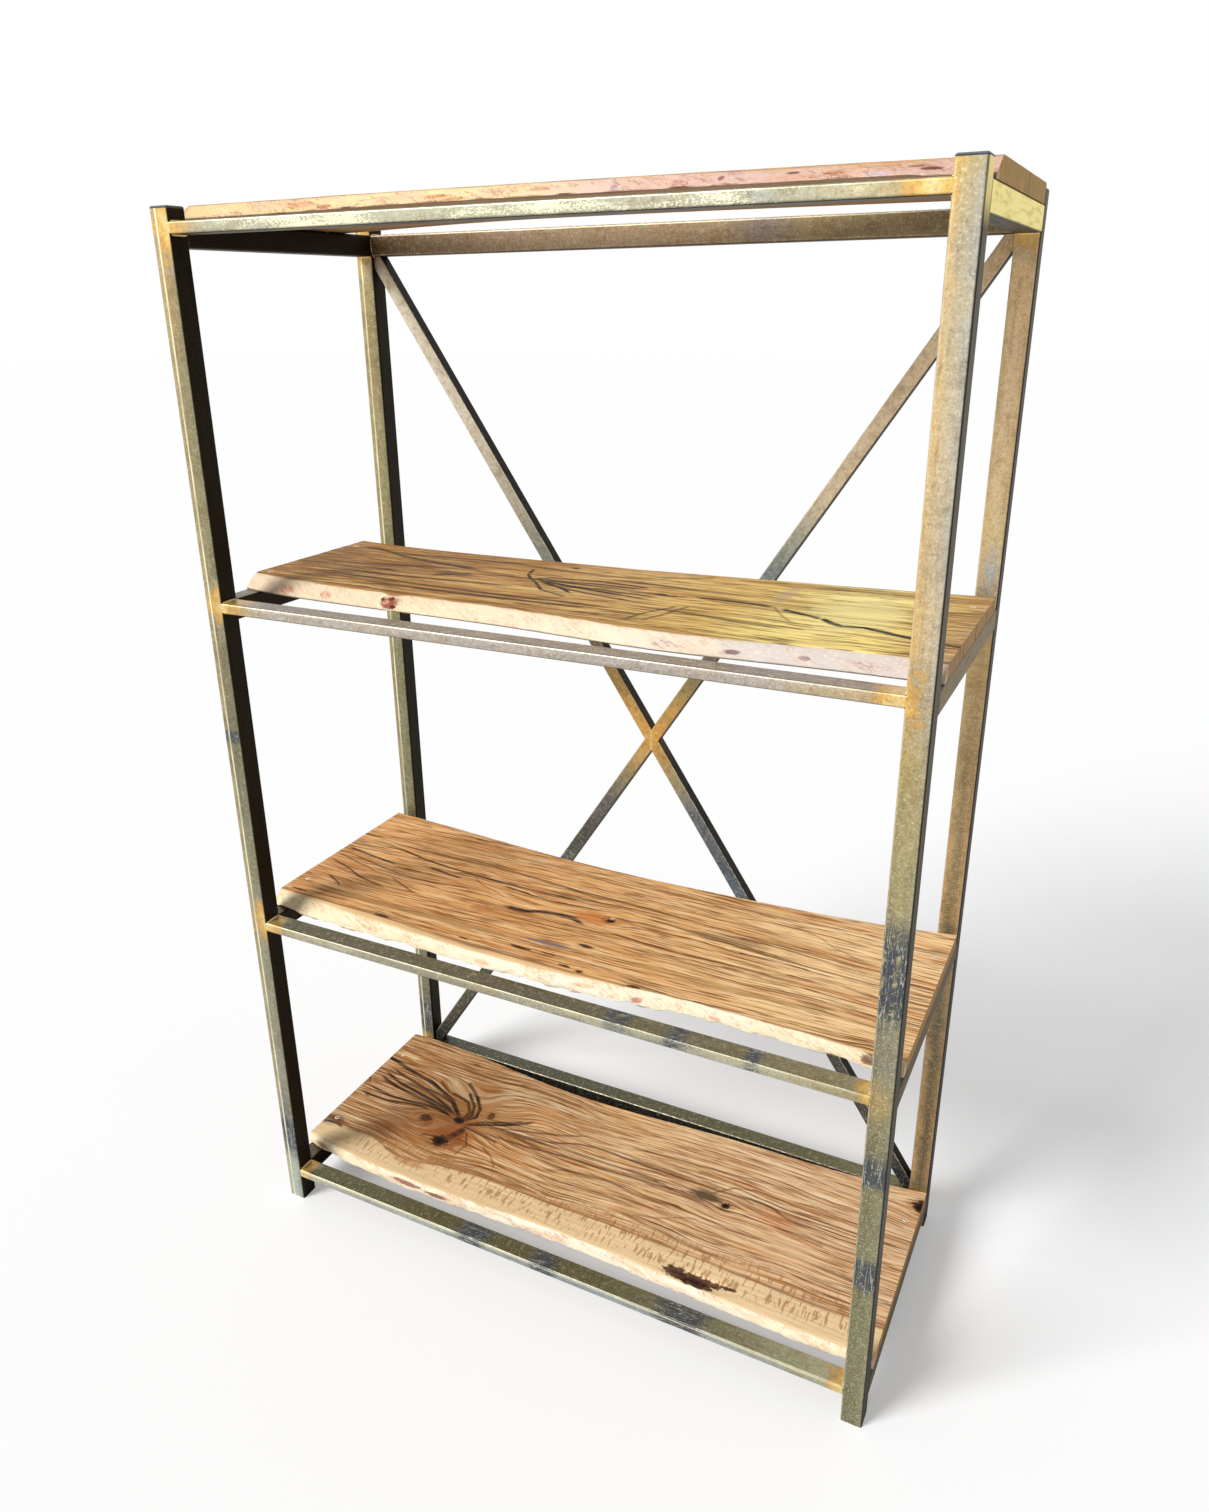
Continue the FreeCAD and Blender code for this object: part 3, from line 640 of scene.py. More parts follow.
        # How far each place is from a drawn line through these points.
        nearest = None
        for (ax, ay), (bx, by) in zip(points, points[1:]):
            leg = (bx - ax, by - ay, 0.0)
            square = leg[0] ** 2 + leg[1] ** 2
            offset = place.node("VectorMath", {0: sketch, 1: (ax, ay, 0.0)}, operation="SUBTRACT")
            share = place.node("VectorMath", {0: offset, 1: tuple(part / square for part in leg)},
                               output="Value", operation="DOT_PRODUCT")
            share = share.node("Clamp", {"Value": share})
            foot = place.node("VectorMath", {0: leg, "Scale": share}, operation="SCALE")
            gap = place.node("VectorMath", {0: offset, 1: foot}, output="Value", operation="DISTANCE")
            nearest = gap if nearest is None else nearest.least(gap)
        return nearest

    broken = 0.75 + 0.25 * dashes.step(0.4, 0.55)
    for code, width, strength, points in strokes:
        legs = [(bx - ax, by - ay) for (ax, ay), (bx, by) in zip(points, points[1:])]
        if all(abs(rise) < 0.8 * run for run, rise in legs):
            first, last = points[0][0], points[-1][0]
            taper = 0.16 * (last - first)
            inside = x.step(first, first + taper) * x.step(last, last - taper)
            gap = abs(y + tremble - path(points)) / (0.4 + inside * width * (0.6 + ragged))
            broken_line = broken * inside
        else:
            gap = trace(points) / (width * (0.6 + ragged))
            broken_line = broken
        wood = (gap.step(1.0, 0.35) * broken_line * strength).over(wood, code)
    for kx, ky, rx, ry, code, depth in knots:
        gap = oval(kx, ky, rx, ry)
        gap = gap.sum("SQRT", gap) + (dashes - 0.5) * 1.2 + (ragged - 0.5) * 1.9
        wood = (gap.step(2.2, 0.9) * 0.4).over(wood, "#8f5a2c")
        wood = (gap.step(1.1, 0.8) * 0.85).over(wood, code)
        wood = (abs(gap - 0.66).step(0.2, 0.05) * 0.6).over(wood, "#2a170d")
        wood = (gap.step(0.65, 0.35) * depth).over(wood, "#120a06")
    for px, py, rx, ry, code in pockets:
        gap = oval(px, py, rx, ry) + (ragged - 0.5) * 3.2
        wood = (gap.step(1.0, 0.8) * 0.92).over(wood, code)
        wood = (gap.step(0.5, 0.2) * pores.step(0.42, 0.55) * 0.8).over(wood, "#1c0d09")

    # The waney front edge: cream sapwood, with the fine rosy lines and specks that the bark left.
    leaning = place.node("CombineXYZ", {0: x * 0.02, 1: (z + 0.32 * x) * 0.11, 2: shift + 41.0})
    bark = leaning.node("TexNoise", {"Vector": leaning, "Scale": 1.0, "Detail": 4.0, "Roughness": 0.65})
    specks = place.noise((0.16, 0.4, 0.4), 3.0, 0.7, shift + 53.0)
    patches = place.noise((0.012, 0.03, 0.05), 2.0, 0.5, shift + 59.0)
    waney = finish.stripe(x, edge_tone)
    waney = (patches.step(0.46, 0.62) * 0.5).over(waney, rosy)
    waney = (specks.step(0.46, 0.34) * 0.35).over(waney, "#fff4de")
    waney = (bark.step(0.5, 0.66) * 0.35).over(waney, rosy)
    wrinkle = abs(bark - 0.5).step(0.022, 0.005) * patches.step(0.38, 0.5)
    waney = (wrinkle * 0.6).over(waney, bark_lines)
    waney = (specks.step(0.62, 0.70) * 0.2).over(waney, bark_lines)
    for ex, up, rx, rz, code, strength in edge_marks:
        dx, dz = (x - ex) / rx, (z - (low[2] + up)) / rz
        spot = dx * dx + dz * dz + (specks - 0.5) * 2.4
        waney = (spot.step(1.1, 0.3) * strength).over(waney, code)
        creased = wrinkle.most(specks.step(0.55, 0.62)) * spot.step(1.2, 0.6)
        waney = (creased * strength * 0.7).over(waney, "#5a261a")
    # Painted shadow: a dark line along the bottom of the front edge, where the board sits on its rail.
    waney = (z.step(low[2] + foot, low[2] + foot - 2.0) * 0.8).over(waney, "#3a2a1a")
    front = ny.step(-0.2, -0.45) * nz.step(0.97, 0.86)
    wood = front.over(wood, waney)
    rough_back = ny.step(0.35, 0.7)
    wood = (rough_back * 0.8).over(wood, (bark.step(0.4, 0.62)).over("#a9794a", "#5c3f26"))
    # The sawn ends show the rays as upright lines, and the shakes that opened as the plank dried.
    rays = place.noise((0.0, 0.32, 0.02), 3.0, 0.65, shift + 61.0)
    ends = (rays.step(0.4, 0.64) * 0.6).over(end_tone, "#5f4324")
    ends = (rays.step(0.38, 0.3) * 0.4).over(ends, "#d9b878")
    ends = (y.step(low[1] + 30.0, low[1] + 16.0) * 0.7).over(ends, rosy)
    for split in splits:
        ends = (abs(y - split + (rays - 0.5) * 5.0).step(2.2, 0.8)).over(ends, "#140c06")
    wood = abs(nx).step(0.6, 0.85).over(wood, ends)
    # Painted shade on the underside.
    wood = (nz.step(-0.5, -0.85) * 0.55).over(wood, "#5a4028")
    finish.set(base_color=wood, roughness=0.5 + 0.2 * pores)
    finish.surface.inputs["Specular IOR Level"].default_value = 0.12
    finish.bump(dashes * 0.6 + pores - vein * 0.4, 0.25, 0.0006)
    return finish.material


STATIONS, LANES_OVER, LANES_BACK, LANES_UNDER, LANES_FRONT = 241, 64, 5, 14, 9
SCREW_X, SCREW_Y, SCREW_CLEAR, EDGE_EASE = 0.482, 0.1, 0.008, 0.0016


def live_edge_board(level, dents=(), lumps=(), bow=0.0, ragged=0.0):
    # A plank that follows the sawn outline of its level, wrapped from a sheet round its section.
    # Bow is the hollow of its underside, and ragged the waste along its lower front edge, in metres.
    node = f"board_{level}"
    low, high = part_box(node)
    corners = np.array([vertex.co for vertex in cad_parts[node].data.vertices])
    hole_gap = np.hypot(np.abs(corners[:, 0]) - SCREW_X, np.abs(corners[:, 1]) - SCREW_Y)
    corners = corners[hole_gap > SCREW_CLEAR]
    stations = np.linspace(low.x, high.x, STATIONS)

    def outline(height, front):
        rim = corners[(abs(corners[:, 2] - height) < 1e-4) & ((corners[:, 1] < 0) == front)]
        rim = rim[np.argsort(rim[:, 0])]
        return np.interp(stations, rim[:, 0], rim[:, 1])

    front_over, front_under = outline(high.z, True), outline(low.z, True)
    rear_over, rear_under = outline(high.z, False), outline(low.z, False)
    seed = len(level) * 7.3
    rows = []
    for index, along in enumerate(stations):
        def wave(scale, lane):
            return noise.noise(Vector((along * scale, lane, seed)))

        rising = max(0.0, math.cos(min(1.0, max(0.0, -0.12 - along) / 0.46) * math.pi / 2)) ** 1.5
        ending = min(1.0, max(0.0, (0.462 - along) / 0.04))
        lift = bow * rising * ending * ending * (3.0 - 2.0 * ending)
        rise = ragged * max(0.0, 0.35 + wave(24.0, 31.0) + 0.6 * wave(70.0, 37.0))
        section = []
        start = front_over[index] + EDGE_EASE
        end = rear_over[index] - EDGE_EASE
        for across in np.linspace(0.0, 1.0, LANES_OVER):
            place = start + (end - start) * across
            height = high.z + 0.00025 * noise.noise(Vector((along * 14.0, place * 30.0, seed)))
            for dx, dy, rx, ry, depth in dents:
                gap = ((along - dx) / rx) ** 2 + ((place - dy) / ry) ** 2
                height -= depth * math.exp(-gap * gap)
            section.append((along, place, height))
        for down in np.linspace(0.1, 0.9, LANES_BACK):
            place = rear_over[index] + (rear_under[index] - rear_over[index]) * down
            place += 0.0022 * wave(45.0, down * 2.0 + 9.0) + 0.001 * wave(160.0, down * 3.0 + 19.0)
            section.append((along, place, high.z + (low.z + lift - high.z) * down))
        start = rear_under[index] - EDGE_EASE
        end = front_under[index] + EDGE_EASE
        for across in np.linspace(0.0, 1.0, LANES_UNDER):
            height = low.z + lift + (rise if across == 1.0 else 0.0)
            section.append((along, start + (end - start) * across, height))
        under = low.z + lift + rise
        for up in np.linspace(0.08, 0.92, LANES_FRONT):
            place = front_under[index] + (front_over[index] - front_under[index]) * up
            bulge = EDGE_EASE * math.sin(up * math.pi)
            rough = 0.0018 * wave(38.0, up * 1.6) + 0.0008 * wave(140.0, up * 4.0 + 3.0)
            for lump_x, reach, depth in lumps:
                rough -= depth * math.exp(-((along - lump_x) / reach) ** 2) * (
                    1.0 + 0.6 * wave(260.0, up * 8.0)) * math.sin(up * math.pi) ** 0.5
            section.append((along, place - bulge + rough, under + (high.z - under) * up))
        rows.append(section)
    rows = np.array(rows)
    lengths, lanes = rows.shape[0], rows.shape[1]
    bpy.ops.object.select_all(action="DESELECT")
    bpy.ops.mesh.primitive_grid_add(x_subdivisions=lengths - 1, y_subdivisions=lanes, size=1.0)
    board = bpy.context.object
    board.name = f"live_edge_board_{level}"
    for vertex in board.data.vertices:
        station = round((vertex.co.x + 0.5) * (lengths - 1))
        lane = round((vertex.co.y + 0.5) * lanes) % lanes
        vertex.co = rows[station, lane]
    bpy.ops.object.mode_set(mode="EDIT")
    bpy.ops.mesh.select_all(action="SELECT")
    bpy.ops.mesh.remove_doubles(threshold=1e-6)
    for end in (low.x, high.x):
        def rim(edges):
            spots = board.data.vertices
            return [edge for edge in edges
                    if all(abs(spots[index].co.x - end) < 1e-6 for index in edge.vertices)]

        pick(board, "EDGE", rim)
        bpy.ops.mesh.fill()
    bpy.ops.mesh.select_all(action="SELECT")
    bpy.ops.mesh.normals_make_consistent(inside=False)
    bpy.ops.object.mode_set(mode="OBJECT")
    bpy.ops.object.shade_smooth_by_angle(angle=math.radians(50.0))
    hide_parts(node)
    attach(board, "root")
    return board


# Bottom board: planed oak with a cluster of branch knots at its left end, a band of flecked sapwood
# along the front, and an open bark pocket in it.
bottom_board = live_edge_board(
    "bottom", ragged=0.003,
    dents=[(0.217, 0.007, 0.008, 0.007, 0.004), (0.235, -0.153, 0.05, 0.012, 0.003),
           (-0.277, -0.07, 0.012, 0.014, 0.002)])
bottom_board.data.materials.append(live_oak(
    "bottom_board_oak", "bottom", pitch=0.11,
    tones=[(-500, "#a87646"), (-330, "#b27e4a"), (-150, "#cb965f"), (0, "#ddb07b"), (250, "#e0b68a"),
           (500, "#deb286")],
    bright="#fae2b8", deep="#c98d50", line="#7d4c26", dark_line="#371d0a",
    sap_line=[(-500, -103), (-443, -113), (-397, -114), (-337, -132), (-290, -130), (-243, -118),
              (-3, -113), (290, -117), (397, -120), (500, -117)],
    sap_tone="#f3d8a8", edge_tone=[(-500, "#eadab8"), (0, "#f0e4cc"), (500, "#eddcbe")],
    star=(-281, 4, 92, 52), busy=[(-420, 20, 90, 60), (-120, 5, 150, 40), (250, 20, 250, 40)],
    knots=[(-281, -12, 12, 8, "#2c1a1a", 0.9), (-235, 22, 6, 9, "#74462a", 0.2),
           (-338, -31, 11, 9, "#5f3a24", 0.4), (-284, -68, 20, 13, "#3a1c0d", 0.9),
           (217, 7, 8, 7, "#3a2a1c", 1.0), (500, 137, 12, 15, "#1c100c", 1.0),
           (-335, 135, 9, 3, "#8a5a34", 0.0)],
    stains=[(180, 12, 36, 17, "#55462e", 0.95), (-280, -40, 62, 62, "#8e4f22", 0.5),
            (-272, -52, 36, 30, "#6a3416", 0.65), (-330, -60, 90, 45, "#a9652f", 0.4),
            (-490, -108, 40, 16, "#5b3a20", 0.8),
            (-290, 60, 60, 60, "#b0702f", 0.35), (-300, -136, 40, 10, "#b87f48", 0.6),
            (70, 150, 190, 9, "#f1d3a0", 0.7), (300, 15, 40, 26, "#d9915e", 0.4)],
    pockets=[(198, -152, 22, 11, "#4d2a20"), (235, -150, 40, 7, "#52301f"), (232, -158, 28, 8, "#45241b"),
             (278, -147, 14, 3, "#52301f")],
    strokes=[("#2a160c", 5.5, 1.0, [(-503, 84), (-447, 69), (-377, 53), (-323, 30), (-281, -8)]),
             ("#2a160c", 4.4, 0.97, [(-497, 52), (-437, 29), (-377, 17), (-310, 2), (-281, -12)]),
             ("#2a160c", 3.9, 0.92, [(-443, 32), (-390, 31), (-337, 17), (-285, -9)]),
             ("#2a160c", 4.2, 0.97, [(-497, 37), (-423, 14), (-357, 6), (-285, -13)]),
             ("#2a160c", 3.9, 0.92, [(-500, 2), (-430, -9), (-343, -2), (-283, -16)]),
             ("#2a160c", 3.6, 0.87, [(-503, -17), (-430, -22), (-377, -10), (-330, -12)]),
             ("#2a160c", 3.1, 0.82, [(-490, 64), (-400, 38), (-340, 30), (-300, 8)]),
             ("#2a160c", 4.4, 0.97, [(-318, 82), (-286, 57), (-263, 30), (-258, 8), (-277, -12)]),
             ("#2a160c", 3.9, 0.92, [(-302, 57), (-277, 33), (-267, 10), (-278, -10)]),
             ("#2a160c", 3.9, 0.87, [(-330, 46), (-293, 37), (-275, 15), (-279, -10)]),
             ("#2a160c", 4.2, 0.97, [(-277, -20), (-230, 0), (-190, 20), (-147, 50)]),
             ("#2a160c", 3.1, 0.87, [(-262, -8), (-215, 14), (-165, 38)]),
             ("#543420", 2.6, 0.75, [(-243, -10), (-177, 10), (-110, 30), (-43, 57)]),
             ("#543420", 2.8, 0.75, [(-277, -20), (-210, -3), (-110, 10), (-43, 31), (57, 30), (190, 30),
                                     (283, 33), (317, 20), (397, 23)]),
             ("#543420", 2.6, 0.75, [(-230, -10), (-110, 3), (23, 7), (157, 11)]),
             ("#543420", 2.6, 0.75, [(-270, -18), (-177, -19), (-60, -10), (90, -3), (190, 0)]),
             ("#3f2617", 3.2, 0.8, [(-277, -18), (-215, -28), (-180, -32)]),
             ("#6a4526", 2.8, 0.75, [(-97, -57), (-43, -37), (23, -30), (90, -37), (157, -30)]),
             ("#6a4526", 2.4, 0.7, [(3, 53), (90, 67), (157, 71), (290, 83)]),
             ("#8a6240", 2.0, 0.65, [(83, -77), (130, -67), (163, -50), (197, -40)]),
             ("#6a4526", 2.4, 0.7, [(190, 23), (217, 47), (250, 57), (357, 50)]),
             ("#6a4526", 2.4, 0.65, [(300, 40), (400, 38), (500, 40)]),
             ("#6a4526", 2.4, 0.65, [(330, 2), (420, -4), (500, 4)]),
             ("#33190e", 9.0, 0.9, [(-282, -72), (-270, -50), (-262, -32)]),
             ("#4f301d", 3.0, 0.75, [(-325, -72), (-300, -64), (-280, -62)]),
             ("#4f301d", 2.2, 0.7, [(-250, -34), (-235, -60), (-240, -85)]),
             ("#543420", 2.4, 0.65, [(-205, -52), (-180, -66), (-165, -82)]),
             ("#6a4526", 2.4, 0.6, [(-470, 122), (-330, 112), (-200, 118), (-60, 108)]),
             ("#4a2c18", 4.0, 0.8, [(-503, -118), (-480, -112), (-455, -116)]),
             ("#4a2c18", 3.0, 0.75, [(-503, 22), (-492, 8)]),
             ("#4a2c18", 3.0, 0.7, [(-478, -26), (-465, -28)])],
    edge_marks=[(-280, 12, 34, 4.5, "#8d5a4a", 0.9), (-222, 9, 26, 4.0, "#85503f", 0.9),
                (-470, 10, 18, 5.0, "#9a6a48", 0.6)],
    flecks=(-420, 470, -150, -92)))

# Lower board: straight-grained oak with a pin knot in its middle, and small bark pockets along a
# ragged cream edge.
lower_board = live_edge_board(
    "lower", ragged=0.0055,
    dents=[(0.023, -0.006, 0.008, 0.007, 0.005), (0.455, -0.167, 0.01, 0.01, 0.003)])
lower_board.data.materials.append(live_oak(
    "lower_board_oak", "lower", pitch=0.085,
    busy=[(-380, 30, 160, 55), (-80, 30, 200, 30), (330, 10, 220, 40), (-60, -50, 130, 16)],
    tones=[(-500, "#e2a566"), (-200, "#e2a566"), (100, "#eab477"), (350, "#f7ce96"), (500, "#f8cd96")],
    bright="#fbdcaa", deep="#c9894a", line="#7b4a20", dark_line="#3c200c",
    sap_line=[(-500, -142), (-300, -150), (-150, -158), (0, -160), (200, -154), (500, -156)],
    sap_tone="#f0cf9c", edge_tone=[(-500, "#e4d5b0"), (0, "#e9dfc6"), (300, "#e8dbc1"), (500, "#e4d1b0")],
    knots=[(23, -7, 8, 7, "#2c1a10", 1.0), (23, -90, 12, 4.0, "#46301f", 0.7),
           (455, -167, 9, 8, "#3a2012", 0.8), (45, -153, 5, 3.5, "#5a3820", 0.5)],
    stains=[(0, -14, 38, 22, "#c8702a", 0.6), (-172, -60, 26, 14, "#a8622a", 0.6),
            (-120, -58, 80, 26, "#c07c3c", 0.4), (-30, -107, 48, 6, "#75676a", 0.85),
            (200, 14, 75, 13, "#8d7650", 0.55), (-280, -116, 240, 8, "#9a7848", 0.6),
            (250, -102, 280, 7, "#a88650", 0.5), (-320, 110, 110, 30, "#b97f3e", 0.4),
            (-470, -20, 60, 40, "#a8662e", 0.4)],
    pockets=[(-300, -146, 14, 4, "#4f2e1c"), (-470, -134, 16, 3, "#5c3a22"), (-60, -134, 18, 3.5, "#5a3820"),
             (-15, -131, 12, 2.5, "#6e4529"), (20, -149, 10, 3, "#4f2e1c"), (-150, -147, 10, 2.5, "#6e4529"),
             (130, -154, 12, 3, "#6e4529")],
    strokes=[("#2a1408", 6.0, 1.0, [(-157, -37), (-110, -40), (-83, -30), (-37, -28), (-17, -33), (3, -43)]),
             ("#5f3c22", 2.8, 0.9, [(3, -43), (43, -42), (103, -47), (157, -50), (223, -47), (330, -52)]),
             ("#432610", 3.0, 0.85, [(-503, 63), (-410, 53), (-343, 37), (-243, 27), (-143, 23), (3, 27)]),
             ("#573319", 2.6, 0.8, [(-503, 80), (-430, 67), (-310, 63), (-190, 63), (-77, 53), (90, 47),
                                    (157, 46)]),
             ("#573319", 2.4, 0.8, [(-503, 52), (-390, 47), (-317, 33), (-190, 27)]),
             ("#3a210f", 3.4, 0.9, [(-503, 23), (-430, 10), (-370, 0)]),
             ("#3a210f", 3.2, 0.9, [(-330, 18), (-290, 12), (-250, 7)]),
             ("#573319", 2.4, 0.8, [(-497, 7), (-430, -7), (-350, -23), (-243, -17), (-203, -3)]),
             ("#432610", 2.6, 0.85, [(-503, -23), (-450, -40), (-403, -60), (-343, -70)]),
             ("#573319", 2.2, 0.8, [(-363, -37), (-325, -54), (-293, -67)]),
             ("#432610", 2.6, 0.8, [(-463, -73), (-440, -84), (-417, -98)]),
             ("#573319", 2.2, 0.75, [(-503, -2), (-440, -20), (-390, -34)]),
             ("#6a431f", 2.2, 0.7, [(-300, 66), (-230, 70), (-180, 67)]),
             ("#6a431f", 2.2, 0.75, [(3, 50), (157, 40), (357, 27), (500, 27)]),
             ("#6a431f", 2.2, 0.75, [(90, 16), (250, 2), (400, -8), (500, -6)]),
             ("#573319", 2.2, 0.7, [(60, 22), (180, 12), (260, 10)]),
             ("#7d5631", 2.0, 0.6, [(157, 70), (290, 87), (357, 57), (423, 30)]),
             ("#7d5631", 2.0, 0.6, [(90, 84), (160, 76), (250, 66)]),
             ("#7d5631", 2.0, 0.6, [(-240, 24), (-215, 4), (-185, -6), (-160, -16)]),
             ("#7d5631", 1.8, 0.6, [(-500, 116), (-330, 106), (-200, 110), (0, 104), (200, 108), (420, 112)]),
             ("#7d5631", 1.8, 0.6, [(-160, -76), (-40, -70), (100, -66), (300, -72)])],
    edge_marks=[(455, 12, 12, 7, "#6a4630", 0.85), (140, 8, 9, 4, "#c4604a", 0.7),
                (-100, 9, 16, 4, "#e0b08a", 0.7), (60, 12, 18, 3, "#d9b98e", 0.7),
                (-300, 11, 22, 3, "#e3c095", 0.6), (250, 8, 10, 3, "#c98a6a", 0.6)],
    rosy="#e8d0a8", bark_lines="#b98d62"))

# Upper board: brown heartwood with a star-shaped shake, a sulphur-yellow patch at the right with a long
# open crack in it, and a grown-over twig on the front edge.
upper_board = live_edge_board("upper", dents=[(0.115, 0.01, 0.014, 0.006, 0.002)],
                              lumps=[(-0.233, 0.012, 0.006)])
upper_board.data.materials.append(live_oak(
    "upper_board_oak", "upper", pitch=0.05,
    tones=[(-500, "#93683a"), (-350, "#ac7c48"), (-150, "#c3925a"), (50, "#cda366"), (200, "#e3bd6a"),
           (290, "#ffec96"), (420, "#ffe78e"), (470, "#cca664"), (500, "#b8936a")],
    bright="#eccb80", deep="#a06d34", line="#6d4822", dark_line="#3a2310",
    sap_line=[(-500, -108), (-300, -128), (-100, -134), (100, -146), (300, -156), (500, -150)],
    sap_tone="#a97f45",
    edge_tone=[(-500, "#d9c2a5"), (-200, "#e6d2b0"), (100, "#e5d5bc"), (300, "#cfc6be"), (500, "#c9bcb6")],
    knots=[(112, 4, 20, 7, "#3c2b30", 0.9), (-333, -17, 5, 4, "#3f2c1c", 0.6),
           (-80, 98, 6, 4, "#3a2818", 0.6)],
    stains=[(360, 20, 75, 130, "#fff2a8", 0.6), (-470, 20, 60, 100, "#67431f", 0.45),
            (-225, -5, 40, 16, "#5d4530", 0.75), (-150, 80, 130, 60, "#9a6526", 0.35),
            (-330, 10, 110, 40, "#8a5a3a", 0.35), (250, 70, 14, 60, "#b59a80", 0.5)],
    strokes=[("#35210f", 6.0, 0.9, [(-490, 103), (-423, 93), (-363, 67), (-310, 53), (-257, 43), (-190, 36)]),
             ("#3f2d1d", 7.0, 0.8, [(-257, -23), (-225, -8), (-197, 13)]),
             ("#2c2018", 3.4, 0.95, [(-133, 67), (-123, 33), (-107, 13), (-90, -3), (-63, -37), (-17, -58)]),
             ("#22140a", 4.4, 1.0, [(-100, 13), (-43, -3), (23, -17), (110, -30)]),
             ("#22140a", 4.4, 1.0, [(-100, 13), (-57, -10), (-10, -43)]),
             ("#22140a", 4.4, 1.0, [(-195, 12), (-100, 13), (-3, 10), (93, 6)]),
             ("#2c1b0d", 4.2, 0.95, [(-100, 15), (-83, 30), (-3, 37), (63, 30)]),
             ("#2c1b0d", 4.2, 0.95, [(-100, 12), (-20, -4), (60, -10), (120, -18)]),
             ("#2a1d14", 6.0, 0.9, [(137, 7), (190, 6), (237, 3), (263, -3)]),
             ("#0d0704", 6.0, 1.0, [(263, -3), (330, -33)]),
             ("#050302", 6.6, 1.0, [(330, -33), (342, -45), (357, -55), (383, -50), (437, -70), (500, -86)]),
             ("#38220c", 5.0, 0.9, [(-450, -66), (-300, -72), (-140, -84), (20, -84), (110, -92)]),
             ("#38220c", 5.0, 0.85, [(-430, -36), (-330, -46), (-200, -40), (-80, -34)]),
             ("#38220c", 5.0, 0.9, [(-350, -90), (-150, -98), (60, -100)]),
             ("#573a18", 4.6, 0.7, [(-260, 40), (-180, 22), (-120, 16)]),
             ("#4d3a1c", 3.4, 0.85, [(108, -122), (116, -94), (140, -50)]),
             ("#4d3a1c", 4.0, 0.75, [(128, -122), (140, -94), (155, -44)]),
             ("#5d4a22", 5.0, 0.75, [(50, 92), (80, 98), (137, 127)]),
             ("#6f5630", 3.0, 0.6, [(255, 0), (280, -40), (292, -54)]),
             ("#a98440", 2.6, 0.6, [(300, -10), (380, -14), (480, -8)]),
             ("#a98440", 2.6, 0.6, [(280, 50), (380, 44), (490, 52)]),
             ("#2c1b0d", 4.0, 0.9, [(-104, 22), (-60, 18), (0, 22), (80, 18)]),
             ("#2c1b0d", 4.0, 0.9, [(-96, 8), (-40, -18), (20, -34), (90, -46)]),
             ("#4a3014", 5.4, 0.8, [(-440, 60), (-330, 84), (-200, 90), (-60, 74), (60, 70)]),
             ("#4a3014", 5.4, 0.8, [(-470, -10), (-380, 4), (-300, 18), (-210, 26)]),
             ("#4a3014", 5.0, 0.75, [(-20, 56), (60, 52), (150, 44), (230, 40)]),
             ("#4a3014", 5.0, 0.75, [(60, -62), (150, -70), (240, -84), (320, -96)])],
    edge_marks=[(-233, 10, 16, 8, "#9a5038", 0.95), (-237, 11, 6, 3.5, "#dba88c", 0.85),
                (-225, 6, 5, 2.6, "#4a1c14", 0.95), (-245, 13, 5, 2.4, "#4a1c14", 0.95),
                (-230, 15, 5, 1.8, "#5a261a", 0.9), (-420, 9, 16, 5.5, "#dfa68c", 0.8),
                (-345, 9, 12, 5, "#e0ab92", 0.8), (262, 8, 12, 3.0, "#6d5058", 0.8),
                (345, 9, 8, 2.6, "#8d7070", 0.7), (180, 8, 20, 4, "#d9c3b8", 0.6),
                (420, 9, 26, 5, "#d2bdb4", 0.6)],
    rosy="#e3cbae", bark_lines="#c9a686", splits=(-60, 20, 95)))

# Top board: the same oak, seen from below by its front edge, which is cream at the left and rosy at the
# right. Its underside is hollow between the rails.
top_board = live_edge_board("top", bow=0.0068)
top_board.data.materials.append(live_oak(
    "top_board_oak", "top", pitch=0.1,
    tones=[(-500, "#c79a62"), (0, "#cfa068"), (500, "#c9985e")],
    bright="#e6c08a", deep="#b98450", line="#7d5230", dark_line="#55331c", sap_line=(), sap_tone="#e6bf8a",
    edge_tone=[(-500, "#e2c08c"), (-330, "#e6c993"), (-150, "#eed8a4"), (0, "#ebd0a0"), (90, "#dcbeac"),
               (200, "#d3b3a8"), (350, "#d0ae9e"), (500, "#c9a392")],
    knots=[(-180, 40, 14, 10, "#5a3820", 0.5), (240, -30, 12, 9, "#4a2c18", 0.7)],
    strokes=[("#7d5230", 2.4, 0.7, [(-500, 40), (-250, 30), (0, 44), (300, 36), (500, 50)]),
             ("#7d5230", 2.4, 0.7, [(-400, -60), (-100, -50), (200, -66), (480, -58)])],
    edge_marks=[(-300, 13, 26, 5, "#dd9a70", 0.55), (-100, 13, 20, 2.2, "#cf8a48", 0.7),
                (-75, 9, 20, 2.2, "#cf8a48", 0.7), (-260, 9, 12, 3, "#b8664a", 0.55),
                (190, 12, 8, 4, "#b87a80", 0.5), (120, 12, 5, 5, "#a98098", 0.5),
                (30, 14, 16, 2.5, "#c5754f", 0.5), (310, 10, 30, 4, "#d59a7c", 0.5),
                (440, 12, 11, 1.8, "#5f3527", 0.9), (425, 15, 9, 1.5, "#7a4a34", 0.8),
                (308, 15, 8, 1.6, "#5f3527", 0.85), (350, 13, 12, 2.5, "#c98660", 0.7),
                (235, 14, 4, 3, "#7a4a4a", 0.8), (231, 5, 5, 3, "#7a4a4a", 0.8),
                (392, 8, 14, 5, "#cbbccb", 0.6)],
    rosy="#dcb196", bark_lines="#96502f", splits=(42,), end_tone="#b8924c", foot=6.5))

